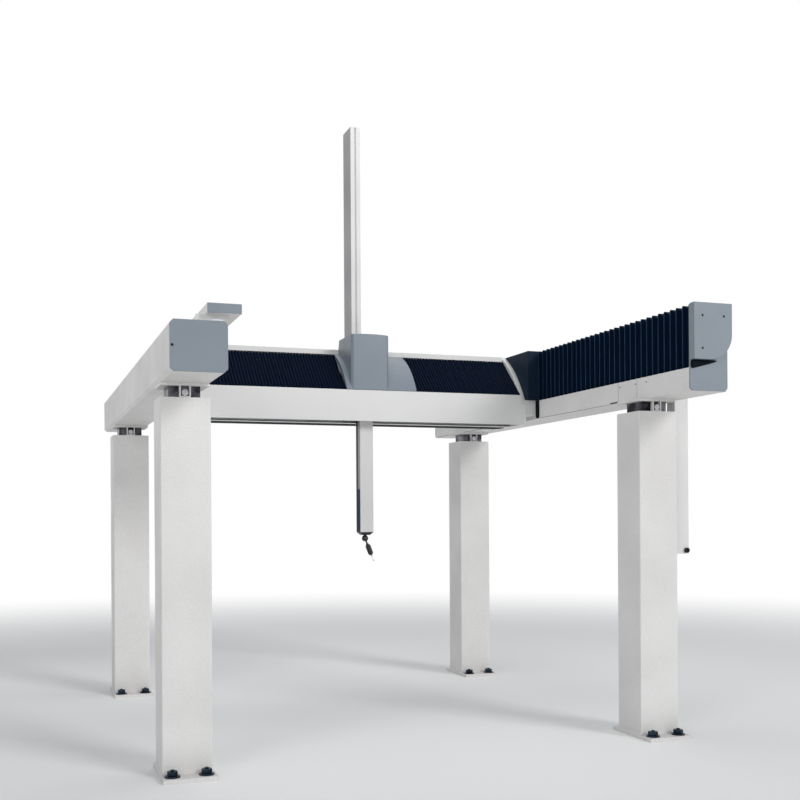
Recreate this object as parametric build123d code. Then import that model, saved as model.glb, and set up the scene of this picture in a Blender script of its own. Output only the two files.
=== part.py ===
from build123d import *
import math
import os

# Gantry coordinate measuring machine, all sizes in millimetres.
# X runs across the two raised guideways, Y along them and Z up.
# The origin is on the floor, under the middle of the machine's footprint.

# Floor plan of the four pillars
BAY_WIDTH = 3236.0
BAY_LENGTH = 3188.0
PILLAR_SIDE = 300.0
PILLAR_WALL = 12.0
PILLAR_ROUND = 10.0
PILLAR_TOP = 2252.0
HEAD_PLATE = 20.0

# Base plates and their anchors
BASE_THICK = 26.0
BASE_SIDE = 10.0
BASE_FRONT = 135.0
BASE_REAR = 60.0
ANCHOR_PITCH = 200.0
ANCHOR_FROM_PILLAR = 68.0
ANCHOR_HOLE_R = 14.0
ANCHOR_WASHER_R = 46.0
ANCHOR_WASHER = 9.0
NUT_SIDES = 6
ANCHOR_NUT_R = 29.0
ANCHOR_NUT = 26.0
ANCHOR_STUD_R = 12.0
ANCHOR_STUD_ABOVE = 12.0

# Levelling gear between each pillar and its beam
LEVEL_GAP = 70.0
SEAT_PLATE = 16.0
SEAT_PLATE_SIDE = 290.0
WEDGE_WIDTH = 190.0
WEDGE_DEPTH = 200.0
WEDGE_LOW = 26.0
WEDGE_HIGH = 44.0
BRACKET_WIDTH = 68.0
BRACKET_DEPTH = 30.0
BRACKET_WALL = 9.0
BRACKET_REVEAL = 12.0
JACK_HEAD_R = 20.0
JACK_STEM_R = 8.0

# Raised beams
BEAM_LENGTH = 4490.0
BEAM_DEPTH = 285.0
LEFT_BEAM_WIDTH = 320.0
BEAM_CHAMFER = 20.0
BEAM_WALL = 14.0
CAP_THICK = 12.0
RIGHT_BEAM_WIDTH = 286.0
RIGHT_BEAM_OFFSET = 53.0
LEDGE_DEPTH = 150.0
WEB_WIDTH = 190.0
WEB_TOP = 422.0

# Bellows guard over the right beam
GUARD_TOP = 557.0
GUARD_CLEAR_BELOW = 2.0
GUARD_CAP = 50.0
GUARD_CAP_TOP = 562.0
GUARD_CAP_BOTTOM = 198.0
GUARD_CAP_ROUND = 165.0
CAP_SCREW_R = 8.0
CAP_SCREW = 5.0
CAP_SCREW_INSET = 62.0
CAP_SCREW_DROP = 84.0
CAP_SCREW_RISE = 70.0
CAP_SCREW_EDGE = 14.0
Y_PLEAT_PITCH = 71.0
Y_PLEAT_DEPTH = 22.0
PLEAT_SHEET = 2.0
SOFT_GAP = 0.3

# Guide strips, air bearings and scales
AIR_GAP = 0.3
STRIP_THICK = 10.0
SIDE_STRIP_HEIGHT = 60.0
SIDE_STRIP_RISE = 302.0
TOP_STRIP_WIDTH = 60.0
TOP_STRIP_INSET = 8.0
PAD_THICK = 17.7
PAD_R = 28.0
PAD_DISC = 10.0
PAD_NECK_R = 10.0
SCALE_THICK = 2.0
SCALE_WIDTH = 20.0
SCALE_RISE = 262.0
READ_HEAD = 50.0
READ_HEAD_DEPTH = 30.0

# Cover over the left guideway
ROOF_WIDTH = 195.0
ROOF_HEIGHT = 55.0
ROOF_SHEET = 3.0
ROOF_CLEAR = 67.0
ROOF_OVERHANG = 102.0
ROOF_SETBACK = 117.0
ROOF_CAP = 8.0
ROOF_BRACKET = 12.0
ROOF_BRACKET_SETBACK = 60.0
ROOF_BRACKET_FOOT = 60.0
LEFT_STRIP_WIDTH = 64.0
LEFT_STRIP_FROM_EDGE = 26.0

# Service duct on the right beam
DUCT_WIDTH = 112.0
DUCT_DEPTH = 100.0
DUCT_BOTTOM = 1261.0
DUCT_ROUND = 6.0
DUCT_BEHIND_PILLAR = 96.0
DUCT_TOP_INSET = 8.0
GLAND_R = 18.0
GLAND_LENGTH = 20.0
GLAND_BORE_R = 8.0

# Bridge, placed by the outer face of its front panel
BRIDGE_FRONT = -68.0
BRIDGE_BOTTOM = 2288.0
BRIDGE_GAP_LEFT = 117.0
BRIDGE_GAP_RIGHT = 98.0
PANEL_HEIGHT = 244.0
PANEL_SHEET = 4.0
PANEL_RETURN = 16.0
END_PLATE = 40.0
END_PLATE_NOSE = 166.0
END_PLATE_BACK = 600.0
END_PLATE_TOP = 612.0
END_PLATE_CREST = 406.0
RIM_FRONT = 379.0
RIM_HEIGHT = 40.0
RIM_TOP = 609.0
RIM_SHEET = 4.0
GIRDER_FRONT = 298.0
GIRDER_BOTTOM = 12.0
GIRDER_SHOULDER = 402.0
GIRDER_CREST = 413.0
GIRDER_WALL = 12.0
UNDER_COVER_FRONT = 233.0
UNDER_COVER_BACK = 413.0
UNDER_SHEET = 3.0

# Slanted bellows on the bridge
SLOPE_FRONT = 22.0
SLOPE_FRONT_RISE = 248.0
SLOPE_BACK = 369.0
SLOPE_BACK_RISE = 567.0
X_PLEAT_PITCH = 25.0
X_PLEAT_DEPTH = 14.0

# Saddle that carries the bridge on the right beam
SADDLE_FRONT = 48.0
SADDLE_WALL = 20.0
SADDLE_ROOF = 40.0
SADDLE_SKIRT = 222.0
SADDLE_NECK_BOTTOM = 212.0
SADDLE_COVER_LEAD = 40.0
SADDLE_COVER_TRAIL = 40.0
SADDLE_COVER_SHEET = 4.0
SADDLE_COVER_SIDE = 7.0
SADDLE_COVER_BOTTOM = 206.0
SADDLE_COVER_WINDOW = 112.0
SADDLE_PAD_INSET = 80.0
FAIRING_BOTTOM = 77.0
FAIRING_FRONT = 11.0
FAIRING_BACK = 568.0
FAIRING_CLEAR = 3.0
FAIRING_SHEET = 3.0

# Left end of the bridge
ARM_PLATE = 24.0
ARM_GUSSET_DEPTH = 90.0
ARM_GUSSET = 20.0
ARM_CLEAR = 8.0
ARM_REACH = 26.0
ARM_FRONT = 98.0

# Drive wheels and their motors
WHEEL_RUN = 0.3
Y_WHEEL_R = 28.0
Y_WHEEL_FACE = 25.0
Y_MOTOR_R = 25.0
Y_MOTOR = 96.0
X_WHEEL_R = 20.0
X_WHEEL_FACE = 20.0
X_MOTOR_R = 20.0
X_MOTOR = 90.0
Z_WHEEL_R = 22.0
Z_WHEEL_FACE = 25.0
Z_MOTOR_R = 20.0
Z_MOTOR = 80.0
SHAFT_R = 5.0
SHAFT_RUN = 0.4
SHAFT_IN_MOTOR = 30.0
MOTOR_PLATE = 8.0
MOTOR_SHOULDER = 3.0

# Ram, placed by its centre line on the bridge
RAM_CENTRE_X = 3.0
RAM_SIDE = 110.0
RAM_FRONT = 116.0
RAM_WALL = 8.0
RAM_CHAMFER = 4.0
RAM_BOTTOM = 1412.0
RAM_TOP = 2960.0
RAM_STRIP = 3.0
RAM_STRIP_WIDTH = 52.0
RAM_PANEL = 2.0
RAM_PANEL_HEIGHT = 342.0
RAM_LIFT = 820.0
RAM_DROP = 30.0
ARM_BAR_WIDTH = 8.0
ARM_BOSS_R = 14.0
ARM_BAR_HEIGHT = 30.0
ARM_CAP_PLATE = 12.0

# Carriage that guides the ram
PLATE_HALF = 143.0
PLATE_BOTTOM = 2305.0
PLATE_TOP = 2700.0
RING_HEIGHT = 80.0
RING_LOW = 2320.0
RING_HIGH = 2605.0
RING_WALL = 18.0
RAM_PAD_THICK = 12.0
RAM_PAD_WIDTH = 80.0
RAM_PAD_HEIGHT = 64.0
X_STRIP_THICK = 12.0
X_STRIP_HEIGHT = 60.0
X_STRIP_LOW = 2330.0
X_STRIP_HIGH = 2570.0
X_PAD_SPREAD = 110.0
X_LIP = 20.0
X_LIP_PAD = 10.0
X_LIP_PAD_WIDTH = 80.0
X_SCALE_Z = 2480.0
UPRIGHT_WIDTH = 126.0
UPRIGHT_THICK = 25.0
EAR_HEIGHT = 40.0

# Carriage cover and its tower
COVER_SHEET = 4.0
HOLLOW_RUN = 244.0
COVER_SEAT_GAP = 2.0
COVER_LEFT = 194.0
COVER_RIGHT = 388.0
COVER_BULGE = 45.0
TOWER_HALF = 155.0
TOWER_TOP = 2968.0
TOWER_CROWN = 6.0
TOWER_DEPTH = 346.0
TOWER_HIP = 2902.0
TOWER_EDGE = 18.0
TOWER_MOUTH_HALF = 76.0
TOWER_MOUTH_FRONT = 98.0

# Column with the ram's counterbalance
COLUMN_WIDTH = 82.0
COLUMN_DEPTH = 207.0
COLUMN_FRONT = 372.0
COLUMN_WALL = 5.0
COLUMN_SLOT = 12.0
COLUMN_CAP = 6.0
SHELF_GAP = 3.0
SHELF = 20.0
CYLINDER_R = 25.0
CYLINDER_BORE_R = 20.0
CYLINDER_END = 14.0
CYLINDER_FROM_FRONT = 126.0
CYLINDER_ROOM = 5.0
CYLINDER_SPARE = 4.4
PISTON = 25.0
PISTON_ROD_R = 8.0
PISTON_RUN = 0.3

# Probe head
HEAD_PLATE_HEIGHT = 24.0
HEAD_PLATE_FOOT = 64.0
BALL_R = 26.0
BALL_DROP = 51.0
BALL_SLOT = 20.0
HUB_R = 19.0
HUB_RUN = 0.4
HUB_PIN_R = 5.0
NECK_R = 7.0
TILT = 21.4
PROBE_START = 46.0
PROBE_END = 142.0
PROBE_R = 21.0
COLLAR_R = 12.0
COLLAR = 10.0
PROBE_TAPER = 5.0
NOSE = 14.0
NOSE_R = 13.0
SOCKET_R = 8.0
SOCKET_DEPTH = 4.0
STYLUS_RUN = 0.3
STYLUS_STEM_R = 2.0
STYLUS_LENGTH = 197.0
TIP_R = 4.0

# Levels and lines worked out from the sizes above
beam_bottom = PILLAR_TOP + LEVEL_GAP + SEAT_PLATE
beam_top = beam_bottom + BEAM_DEPTH
ledge_top = beam_bottom + LEDGE_DEPTH
web_top = beam_bottom + WEB_TOP
total_width = LEFT_BEAM_WIDTH / 2 + BAY_WIDTH + RIGHT_BEAM_OFFSET + RIGHT_BEAM_WIDTH / 2 + DUCT_WIDTH
left_line = LEFT_BEAM_WIDTH / 2 - total_width / 2
right_pillar_line = left_line + BAY_WIDTH
right_line = right_pillar_line + RIGHT_BEAM_OFFSET
beam_end = BEAM_LENGTH / 2
guard_end = beam_end + CAP_THICK
guard_left = right_line - RIGHT_BEAM_WIDTH / 2
guard_right = right_line + RIGHT_BEAM_WIDTH / 2
guard_top = beam_bottom + GUARD_TOP
guard_bottom = ledge_top + GUARD_CLEAR_BELOW
roof_right = left_line + LEFT_BEAM_WIDTH / 2 + ROOF_OVERHANG
roof_left = roof_right - ROOF_WIDTH
roof_bottom = beam_top + ROOF_CLEAR
roof_end = beam_end - ROOF_SETBACK
bridge_left = left_line + LEFT_BEAM_WIDTH / 2 + BRIDGE_GAP_LEFT
bridge_right = guard_left - BRIDGE_GAP_RIGHT
bay_left = bridge_left + END_PLATE
bay_right = bridge_right - END_PLATE
bridge_back = BRIDGE_FRONT + END_PLATE_BACK
girder_front = BRIDGE_FRONT + GIRDER_FRONT
girder_bottom = BRIDGE_BOTTOM + GIRDER_BOTTOM
rim_top = BRIDGE_BOTTOM + RIM_TOP
girder_top = rim_top - RIM_SHEET
slope_start = (BRIDGE_FRONT + SLOPE_FRONT, BRIDGE_BOTTOM + SLOPE_FRONT_RISE)
slope_end = (BRIDGE_FRONT + SLOPE_BACK, BRIDGE_BOTTOM + SLOPE_BACK_RISE)
ram_front = BRIDGE_FRONT + RAM_FRONT
ram_back = ram_front + RAM_SIDE
ram_left = RAM_CENTRE_X - RAM_SIDE / 2
ram_right = RAM_CENTRE_X + RAM_SIDE / 2
ram_centre_y = ram_front + RAM_SIDE / 2
plate_front = ram_back + AIR_GAP + RAM_PAD_THICK
saddle_front = BRIDGE_FRONT + SADDLE_FRONT
cover_front = BRIDGE_FRONT - SADDLE_COVER_LEAD
cover_back = bridge_back + SADDLE_COVER_TRAIL
side_strip_face = WEB_WIDTH / 2 + STRIP_THICK
saddle_inside = side_strip_face + AIR_GAP + PAD_THICK
saddle_ceiling = web_top + STRIP_THICK + AIR_GAP + PAD_THICK
side_strip_z = beam_bottom + SIDE_STRIP_RISE
column_front = BRIDGE_FRONT + COLUMN_FRONT
column_back = column_front + COLUMN_DEPTH
column_base = rim_top + SHELF_GAP + SHELF
cylinder_y = column_front + CYLINDER_FROM_FRONT
ram_crown = RAM_TOP + ARM_BAR_HEIGHT
cylinder_bottom = ram_crown + RAM_LIFT + CYLINDER_ROOM
cylinder_length = 2 * CYLINDER_END + RAM_DROP + RAM_LIFT + PISTON + 2 * PISTON_RUN + CYLINDER_SPARE
cylinder_top = cylinder_bottom + cylinder_length
column_top = cylinder_top + COLUMN_CAP
piston_rest = cylinder_bottom + CYLINDER_END + RAM_DROP + PISTON_RUN
ball_z = RAM_BOTTOM - BALL_DROP
x_strip_face = girder_front - X_STRIP_THICK
plate_back = x_strip_face - AIR_GAP - PAD_THICK


def block(x_low, x_high, y_low, y_high, z_low, z_high):
    """A box given by its six faces."""
    middle = Pos((x_low + x_high) / 2, (y_low + y_high) / 2, (z_low + z_high) / 2)
    return middle * Box(x_high - x_low, y_high - y_low, z_high - z_low)


def prism_x(outline, x_low, x_high):
    """A closed outline in (y, z), carried along X."""
    return extrude(Plane.YZ.offset(x_low) * make_face(outline), x_high - x_low)


def prism_y(outline, y_low, y_high):
    """A closed outline in (x, z), carried along Y."""
    return extrude(Plane.XZ.offset(-y_high) * make_face(outline), y_high - y_low)


def ring(points):
    """The closed line through the points."""
    return Polyline(*points, close=True)


def upright(x, y, z_low, z_high, radius):
    """A round bar standing on z_low."""
    return Pos(x, y, (z_low + z_high) / 2) * Cylinder(radius, z_high - z_low)


def bar_y(x, z, y_low, y_high, radius):
    """A round bar along Y."""
    return Pos(x, (y_low + y_high) / 2, z) * Rot(90, 0, 0) * Cylinder(radius, y_high - y_low)


def tube(width, depth, z_low, z_high, wall, corner):
    """An upright rectangular tube about the origin, with rounded outer corners."""
    stock = block(-width / 2, width / 2, -depth / 2, depth / 2, z_low, z_high)
    stock = fillet(stock.edges().filter_by(Axis.Z), corner)
    inner_x = width / 2 - wall
    inner_y = depth / 2 - wall
    return stock - block(-inner_x, inner_x, -inner_y, inner_y, z_low, z_high)


def pleats(start, end, pitch, depth, sheet):
    """A zigzag sheet's section from start to end, ridges at zero and valleys at depth."""
    folds = 2 * max(2, round((end - start) / pitch))
    step = (end - start) / folds
    crest = [(start + i * step, depth if i % 2 else 0.0) for i in range(folds + 1)]
    return crest + [(u, v + sheet) for u, v in reversed(crest)]


def save(name, *solids):
    """Write one node, whose solids stay separate."""
    shape = solids[0] if len(solids) == 1 else Compound(children=list(solids))
    shape.label = name
    export_step(shape, f"parts/{name}.step")


def pillar():
    """A welded pillar: square tube, base plate with its front flange, and head plate."""
    half = PILLAR_SIDE / 2
    post = tube(PILLAR_SIDE, PILLAR_SIDE, BASE_THICK, PILLAR_TOP - HEAD_PLATE, PILLAR_WALL, PILLAR_ROUND)
    base = block(-half - BASE_SIDE, half + BASE_SIDE, -half - BASE_FRONT, half + BASE_REAR, 0, BASE_THICK)
    head = block(-half, half, -half, half, PILLAR_TOP - HEAD_PLATE, PILLAR_TOP)
    head = fillet(head.edges().filter_by(Axis.Z), PILLAR_ROUND)
    for side in (-1, 1):
        base -= upright(side * ANCHOR_PITCH / 2, -half - ANCHOR_FROM_PILLAR, 0, BASE_THICK, ANCHOR_HOLE_R)
    return post + base + head


def anchor(x, y):
    """A floor anchor: a stud through the base plate with its washer and nut."""
    washer_top = BASE_THICK + ANCHOR_WASHER
    nut_top = washer_top + ANCHOR_NUT
    washer = upright(x, y, BASE_THICK, washer_top, ANCHOR_WASHER_R)
    nut = Pos(x, y, washer_top) * extrude(RegularPolygon(ANCHOR_NUT_R, NUT_SIDES), ANCHOR_NUT)
    return washer + nut + upright(x, y, 0, nut_top + ANCHOR_STUD_ABOVE, ANCHOR_STUD_R)


def wedge_mount(x, y):
    """Two wedges that meet on a slope, under the middle of a beam's seat plate."""
    front = y - WEDGE_DEPTH / 2
    back = y + WEDGE_DEPTH / 2
    foot = PILLAR_TOP
    head = PILLAR_TOP + LEVEL_GAP
    low = ring([(front, foot), (back, foot), (back, foot + WEDGE_HIGH), (front, foot + WEDGE_LOW)])
    high = ring([(front, foot + WEDGE_LOW), (back, foot + WEDGE_HIGH), (back, head), (front, head)])
    left = x - WEDGE_WIDTH / 2
    right = x + WEDGE_WIDTH / 2
    return prism_x(low, left, right), prism_x(high, left, right)


def jack_bracket(x, y):
    """A U bracket in front of a wedge mount; its two cheeks show beside the jack screw."""
    face = y - PILLAR_SIDE / 2 + BRACKET_REVEAL
    back = face + BRACKET_DEPTH
    half = BRACKET_WIDTH / 2
    floor = PILLAR_TOP + BRACKET_WALL
    top = PILLAR_TOP + LEVEL_GAP
    body = block(x - half, x + half, face, back, PILLAR_TOP, top)
    return body - block(x - half + BRACKET_WALL, x + half - BRACKET_WALL, face, back, floor, top)


def jack_screw(x, y):
    """The adjusting screw: a round head between the cheeks and a stem up to the wedges."""
    face = y - PILLAR_SIDE / 2 + BRACKET_REVEAL
    z = PILLAR_TOP + BRACKET_WALL + JACK_HEAD_R + SOFT_GAP
    reach = y - WEDGE_DEPTH / 2
    head = bar_y(x, z, face, face + BRACKET_DEPTH, JACK_HEAD_R)
    return head + bar_y(x, z, face + BRACKET_DEPTH, reach, JACK_STEM_R)


def seat_plate(x, y):
    """The plate between the levelling gear and a beam."""
    half = SEAT_PLATE_SIDE / 2
    low = PILLAR_TOP + LEVEL_GAP
    return block(x - half, x + half, y - half, y + half, low, low + SEAT_PLATE)


def left_beam():
    """The left guideway beam: a closed tube with chamfered corners."""
    half = LEFT_BEAM_WIDTH / 2
    stock = block(left_line - half, left_line + half, -beam_end, beam_end, beam_bottom, beam_top)
    stock = chamfer(stock.edges().filter_by(Axis.Y), BEAM_CHAMFER)
    inner = half - BEAM_WALL
    low = beam_bottom + BEAM_WALL
    high = beam_top - BEAM_WALL
    return stock - block(left_line - inner, left_line + inner, -beam_end, beam_end, low, high)


def left_beam_cap(side):
    """The plate that closes one end of the left beam."""
    half = LEFT_BEAM_WIDTH / 2
    y_low, y_high = sorted((side * beam_end, side * guard_end))
    plate = block(left_line - half, left_line + half, y_low, y_high, beam_bottom, beam_top)
    plate = chamfer(plate.edges().filter_by(Axis.Y), BEAM_CHAMFER)
    for screw in cap_screws():
        plate -= screw
    return plate


def right_beam_outline(inset):
    """The main beam's stepped section: a wide foot and a narrower web above it."""
    foot = RIGHT_BEAM_WIDTH / 2 - inset
    web = WEB_WIDTH / 2 - inset
    low = beam_bottom + inset
    step = ledge_top - inset
    high = web_top - inset
    corners = [(-foot, low), (foot, low), (foot, step), (web, step), (web, high)]
    corners += [(-web, high), (-web, step), (-foot, step)]
    return ring([(right_line + x, z) for x, z in corners])


def right_beam():
    """The right guideway beam, a hollow stepped section."""
    shell = prism_y(right_beam_outline(0), -beam_end, beam_end)
    return shell - prism_y(right_beam_outline(BEAM_WALL), -beam_end, beam_end)


def right_beam_cap(side):
    """The bulkhead at one end of the right beam and its guard, with cut lower corners."""
    y_low, y_high = sorted((side * beam_end, side * guard_end))
    cut = BEAM_CHAMFER
    outline = ring([(guard_left + cut, beam_bottom), (guard_right - cut, beam_bottom),
                    (guard_right, beam_bottom + cut), (guard_right, guard_top), (guard_left, guard_top),
                    (guard_left, beam_bottom + cut)])
    return prism_y(outline, y_low, y_high)


def guard_cap(side):
    """The bellows guard's end housing, rounded under its outer side."""
    low = beam_bottom + GUARD_CAP_BOTTOM
    high = beam_bottom + GUARD_CAP_TOP
    round_start = guard_right - GUARD_CAP_ROUND
    swing = GUARD_CAP_ROUND * math.sqrt(0.5)
    middle = (round_start + swing, low + GUARD_CAP_ROUND - swing)
    outline = Curve() + [
        Line((guard_left, high), (guard_left, low)),
        Line((guard_left, low), (round_start, low)),
        ThreePointArc((round_start, low), middle, (guard_right, low + GUARD_CAP_ROUND)),
        Line((guard_right, low + GUARD_CAP_ROUND), (guard_right, high)),
        Line((guard_right, high), (guard_left, high)),
    ]
    y_low, y_high = sorted((side * guard_end, side * (guard_end + GUARD_CAP)))
    housing = prism_y(outline, y_low, y_high)
    for screw in cap_screws():
        housing -= screw
    return housing


def cap_screws():
    """The sunk screws in the guard caps and in the left beam's caps."""
    high = beam_bottom + GUARD_CAP_TOP - CAP_SCREW_DROP
    low = beam_bottom + GUARD_CAP_BOTTOM + CAP_SCREW_RISE
    middle = beam_bottom + BEAM_DEPTH / 2
    left = guard_left + CAP_SCREW_INSET
    right = guard_right - CAP_SCREW_INSET
    guard_face = guard_end + GUARD_CAP
    reach = LEFT_BEAM_WIDTH / 2 - CAP_SCREW_EDGE
    places = [(left, high, guard_face), (right, high, guard_face), (left, low, guard_face)]
    places.append((left_line - reach, middle, guard_end))
    screws = []
    for x, z, face in places:
        sunk = face - CAP_SCREW
        screws.append(bar_y(x, z, sunk, face, CAP_SCREW_R))
        screws.append(bar_y(x, z, -face, -sunk, CAP_SCREW_R))
    return screws


def main_strips():
    """The four ground strips on the right beam's web and the one on the left beam."""
    web = WEB_WIDTH / 2
    strips = []
    for side in (-1, 1):
        x_low, x_high = sorted((right_line + side * web, right_line + side * side_strip_face))
        z_high = side_strip_z + SIDE_STRIP_HEIGHT
        strips.append(block(x_low, x_high, -beam_end, beam_end, side_strip_z, z_high))
        outer = right_line + side * (web - TOP_STRIP_INSET)
        x_low, x_high = sorted((outer, outer - side * TOP_STRIP_WIDTH))
        strips.append(block(x_low, x_high, -beam_end, beam_end, web_top, web_top + STRIP_THICK))
    x_high = left_line + LEFT_BEAM_WIDTH / 2 - LEFT_STRIP_FROM_EDGE
    x_low = x_high - LEFT_STRIP_WIDTH
    strips.append(block(x_low, x_high, -beam_end, beam_end, beam_top, beam_top + STRIP_THICK))
    return strips


def y_scale():
    """The steel scale on the inner side of the right beam's web."""
    face = right_line - WEB_WIDTH / 2
    low = beam_bottom + SCALE_RISE
    return block(face - SCALE_THICK, face, -beam_end, beam_end, low, low + SCALE_WIDTH)


def left_roof():
    """The folded sheet channel over the left guideway, open below."""
    high = roof_bottom + ROOF_HEIGHT
    stock = block(roof_left, roof_right, -roof_end, roof_end, roof_bottom, high)
    inner = block(roof_left + ROOF_SHEET, roof_right - ROOF_SHEET, -roof_end, roof_end,
                  roof_bottom + ROOF_SHEET, high - ROOF_SHEET)
    return stock - inner


def left_roof_cap(side):
    """The cap on one end of the roof channel."""
    y_low, y_high = sorted((side * roof_end, side * (roof_end + ROOF_CAP)))
    return block(roof_left, roof_right, y_low, y_high, roof_bottom, roof_bottom + ROOF_HEIGHT)


def roof_bracket(side):
    """A saddle plate that stands on the beam and leans out under the roof's overhang."""
    edge = left_line + LEFT_BEAM_WIDTH / 2
    foot = edge - ROOF_BRACKET_FOOT - LEFT_STRIP_FROM_EDGE - LEFT_STRIP_WIDTH
    strip_top = beam_top + STRIP_THICK + SOFT_GAP
    strip_right = edge - LEFT_STRIP_FROM_EDGE + SOFT_GAP
    strip_left = strip_right - LEFT_STRIP_WIDTH - 2 * SOFT_GAP
    lip = edge + ROOF_OVERHANG / 2
    outline = ring([(foot, beam_top), (strip_left, beam_top), (strip_left, strip_top),
                    (strip_right, strip_top), (strip_right, beam_top), (edge - BEAM_CHAMFER, beam_top),
                    (lip, roof_bottom), (foot, roof_bottom)])
    y_high = side * (roof_end - ROOF_BRACKET_SETBACK)
    return prism_y(outline, min(y_high, y_high + ROOF_BRACKET), max(y_high, y_high + ROOF_BRACKET))


def duct():
    """The service duct that hangs from the right beam's outer side."""
    front = -BAY_LENGTH / 2 - PILLAR_SIDE / 2 + DUCT_BEHIND_PILLAR
    body = block(guard_right, guard_right + DUCT_WIDTH, front, front + DUCT_DEPTH, DUCT_BOTTOM,
                 ledge_top - DUCT_TOP_INSET)
    return fillet(body.edges().filter_by(Axis.Z), DUCT_ROUND)


def duct_gland():
    """The cable gland low on the duct's front."""
    front = -BAY_LENGTH / 2 - PILLAR_SIDE / 2 + DUCT_BEHIND_PILLAR
    x = guard_right + DUCT_WIDTH - GLAND_R - DUCT_ROUND
    z = DUCT_BOTTOM + GLAND_R + DUCT_ROUND
    body = bar_y(x, z, front - GLAND_LENGTH, front, GLAND_R)
    return body - bar_y(x, z, front - GLAND_LENGTH, front - GLAND_LENGTH / 2, GLAND_BORE_R)


def arch(lift):
    """The end plates' front arch from the nose to the crest, raised by lift."""
    nose = (BRIDGE_FRONT, BRIDGE_BOTTOM + END_PLATE_NOSE)
    crest = (BRIDGE_FRONT + END_PLATE_CREST, BRIDGE_BOTTOM + END_PLATE_TOP)
    run = crest[0] - nose[0]
    rise = crest[1] - nose[1]
    chord = math.hypot(run, rise)
    middle = (nose[0] + run / 2 - lift * rise / chord, nose[1] + rise / 2 + lift * run / chord)
    return nose, middle, crest


def end_plate_outline():
    """The bridge's side outline: an arched front, a level top and a straight back."""
    nose, middle, crest = arch(COVER_BULGE)
    front_foot = (BRIDGE_FRONT, BRIDGE_BOTTOM)
    back_foot = (bridge_back, BRIDGE_BOTTOM)
    back_top = (bridge_back, crest[1])
    return Curve() + [
        Line(front_foot, nose),
        ThreePointArc(nose, middle, crest),
        Line(crest, back_top),
        Line(back_top, back_foot),
        Line(back_foot, front_foot),
    ]


def end_plate(x_low):
    """A bridge end plate."""
    return prism_x(end_plate_outline(), x_low, x_low + END_PLATE)


def girder_outline(inset):
    """The bridge girder's section, with its slanted shoulder under the bellows."""
    front = girder_front + inset
    back = bridge_back - inset
    low = girder_bottom + inset
    high = girder_top - inset
    shoulder = (front, BRIDGE_BOTTOM + GIRDER_SHOULDER)
    crest = (BRIDGE_FRONT + GIRDER_CREST + inset, shoulder[1] + GIRDER_CREST - GIRDER_FRONT)
    return ring([(front, low), (back, low), (back, high), (crest[0], high), crest, shoulder])


def girder():
    """The hollow girder that carries the carriage."""
    bar = prism_x(girder_outline(0), bay_left, bay_right)
    return bar - prism_x(girder_outline(GIRDER_WALL), bay_left, bay_right)


def front_panel():
    """The folded panel along the bridge's lower front."""
    front = BRIDGE_FRONT
    lip = front + PANEL_RETURN
    inner = front + PANEL_SHEET
    low = BRIDGE_BOTTOM
    high = BRIDGE_BOTTOM + PANEL_HEIGHT
    outline = ring([(front, low), (lip, low), (lip, low + PANEL_SHEET), (inner, low + PANEL_SHEET),
                    (inner, high - PANEL_SHEET), (lip, high - PANEL_SHEET), (lip, high), (front, high)])
    return prism_x(outline, bay_left, bay_right)


def top_cover():
    """The sheet cover on the girder; its front lip is the rim over the bellows."""
    front = BRIDGE_FRONT + RIM_FRONT
    inner = front + RIM_SHEET
    low = rim_top - RIM_HEIGHT
    outline = ring([(front, low), (inner, low), (inner, girder_top), (bridge_back, girder_top),
                    (bridge_back, rim_top), (front, rim_top)])
    return prism_x(outline, bay_left, bay_right)


def under_cover():
    """The shallow tray under the girder, with its lip beside the ram's slot."""
    front = BRIDGE_FRONT + UNDER_COVER_FRONT
    back = BRIDGE_FRONT + UNDER_COVER_BACK
    low = BRIDGE_BOTTOM
    high = girder_bottom
    outline = ring([(front, low), (back, low), (back, high), (back - UNDER_SHEET, high),
                    (back - UNDER_SHEET, low + UNDER_SHEET), (front, low + UNDER_SHEET)])
    return prism_x(outline, bay_left, bay_right)


def x_bellows(x_low, x_high):
    """Pleated sheet on the bridge's slanted top, ridges running up the slope."""
    run = slope_end[0] - slope_start[0]
    rise = slope_end[1] - slope_start[1]
    slope = math.hypot(run, rise)
    plane = Plane(origin=(0, slope_start[0], slope_start[1]), x_dir=(1, 0, 0), z_dir=(0, run, rise))
    section = pleats(x_low + SOFT_GAP, x_high - SOFT_GAP, X_PLEAT_PITCH, X_PLEAT_DEPTH, PLEAT_SHEET)
    return extrude(plane * make_face(ring(section)), slope)


def y_bellows(y_low, y_high):
    """Pleated guard over the right beam: two sides and a top, mitred where they meet."""
    section = pleats(y_low + SOFT_GAP, y_high - SOFT_GAP, Y_PLEAT_PITCH, Y_PLEAT_DEPTH, PLEAT_SHEET)
    depth = Y_PLEAT_DEPTH + PLEAT_SHEET
    top = prism_x(ring([(y, guard_top - v) for y, v in section]), guard_left, guard_right)
    outer_left = (guard_left, guard_top)
    outer_right = (guard_right, guard_top)
    inner_left = (guard_left + depth, guard_top - depth)
    inner_right = (guard_right - depth, guard_top - depth)
    top &= prism_y(ring([outer_left, outer_right, inner_right, inner_left]), y_low, y_high)
    walls = []
    for x_face, sign, corner, inner in ((guard_left, 1, outer_left, inner_left),
                                        (guard_right, -1, outer_right, inner_right)):
        sheet = Plane.XY.offset(guard_bottom) * make_face(ring([(x_face + sign * v, y) for y, v in section]))
        wall = extrude(sheet, guard_top - guard_bottom)
        window = ring([(x_face, guard_bottom), corner, inner, (inner[0], guard_bottom)])
        walls.append(wall & prism_y(window, y_low, y_high))
    return top + walls[0] + walls[1]


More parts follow.
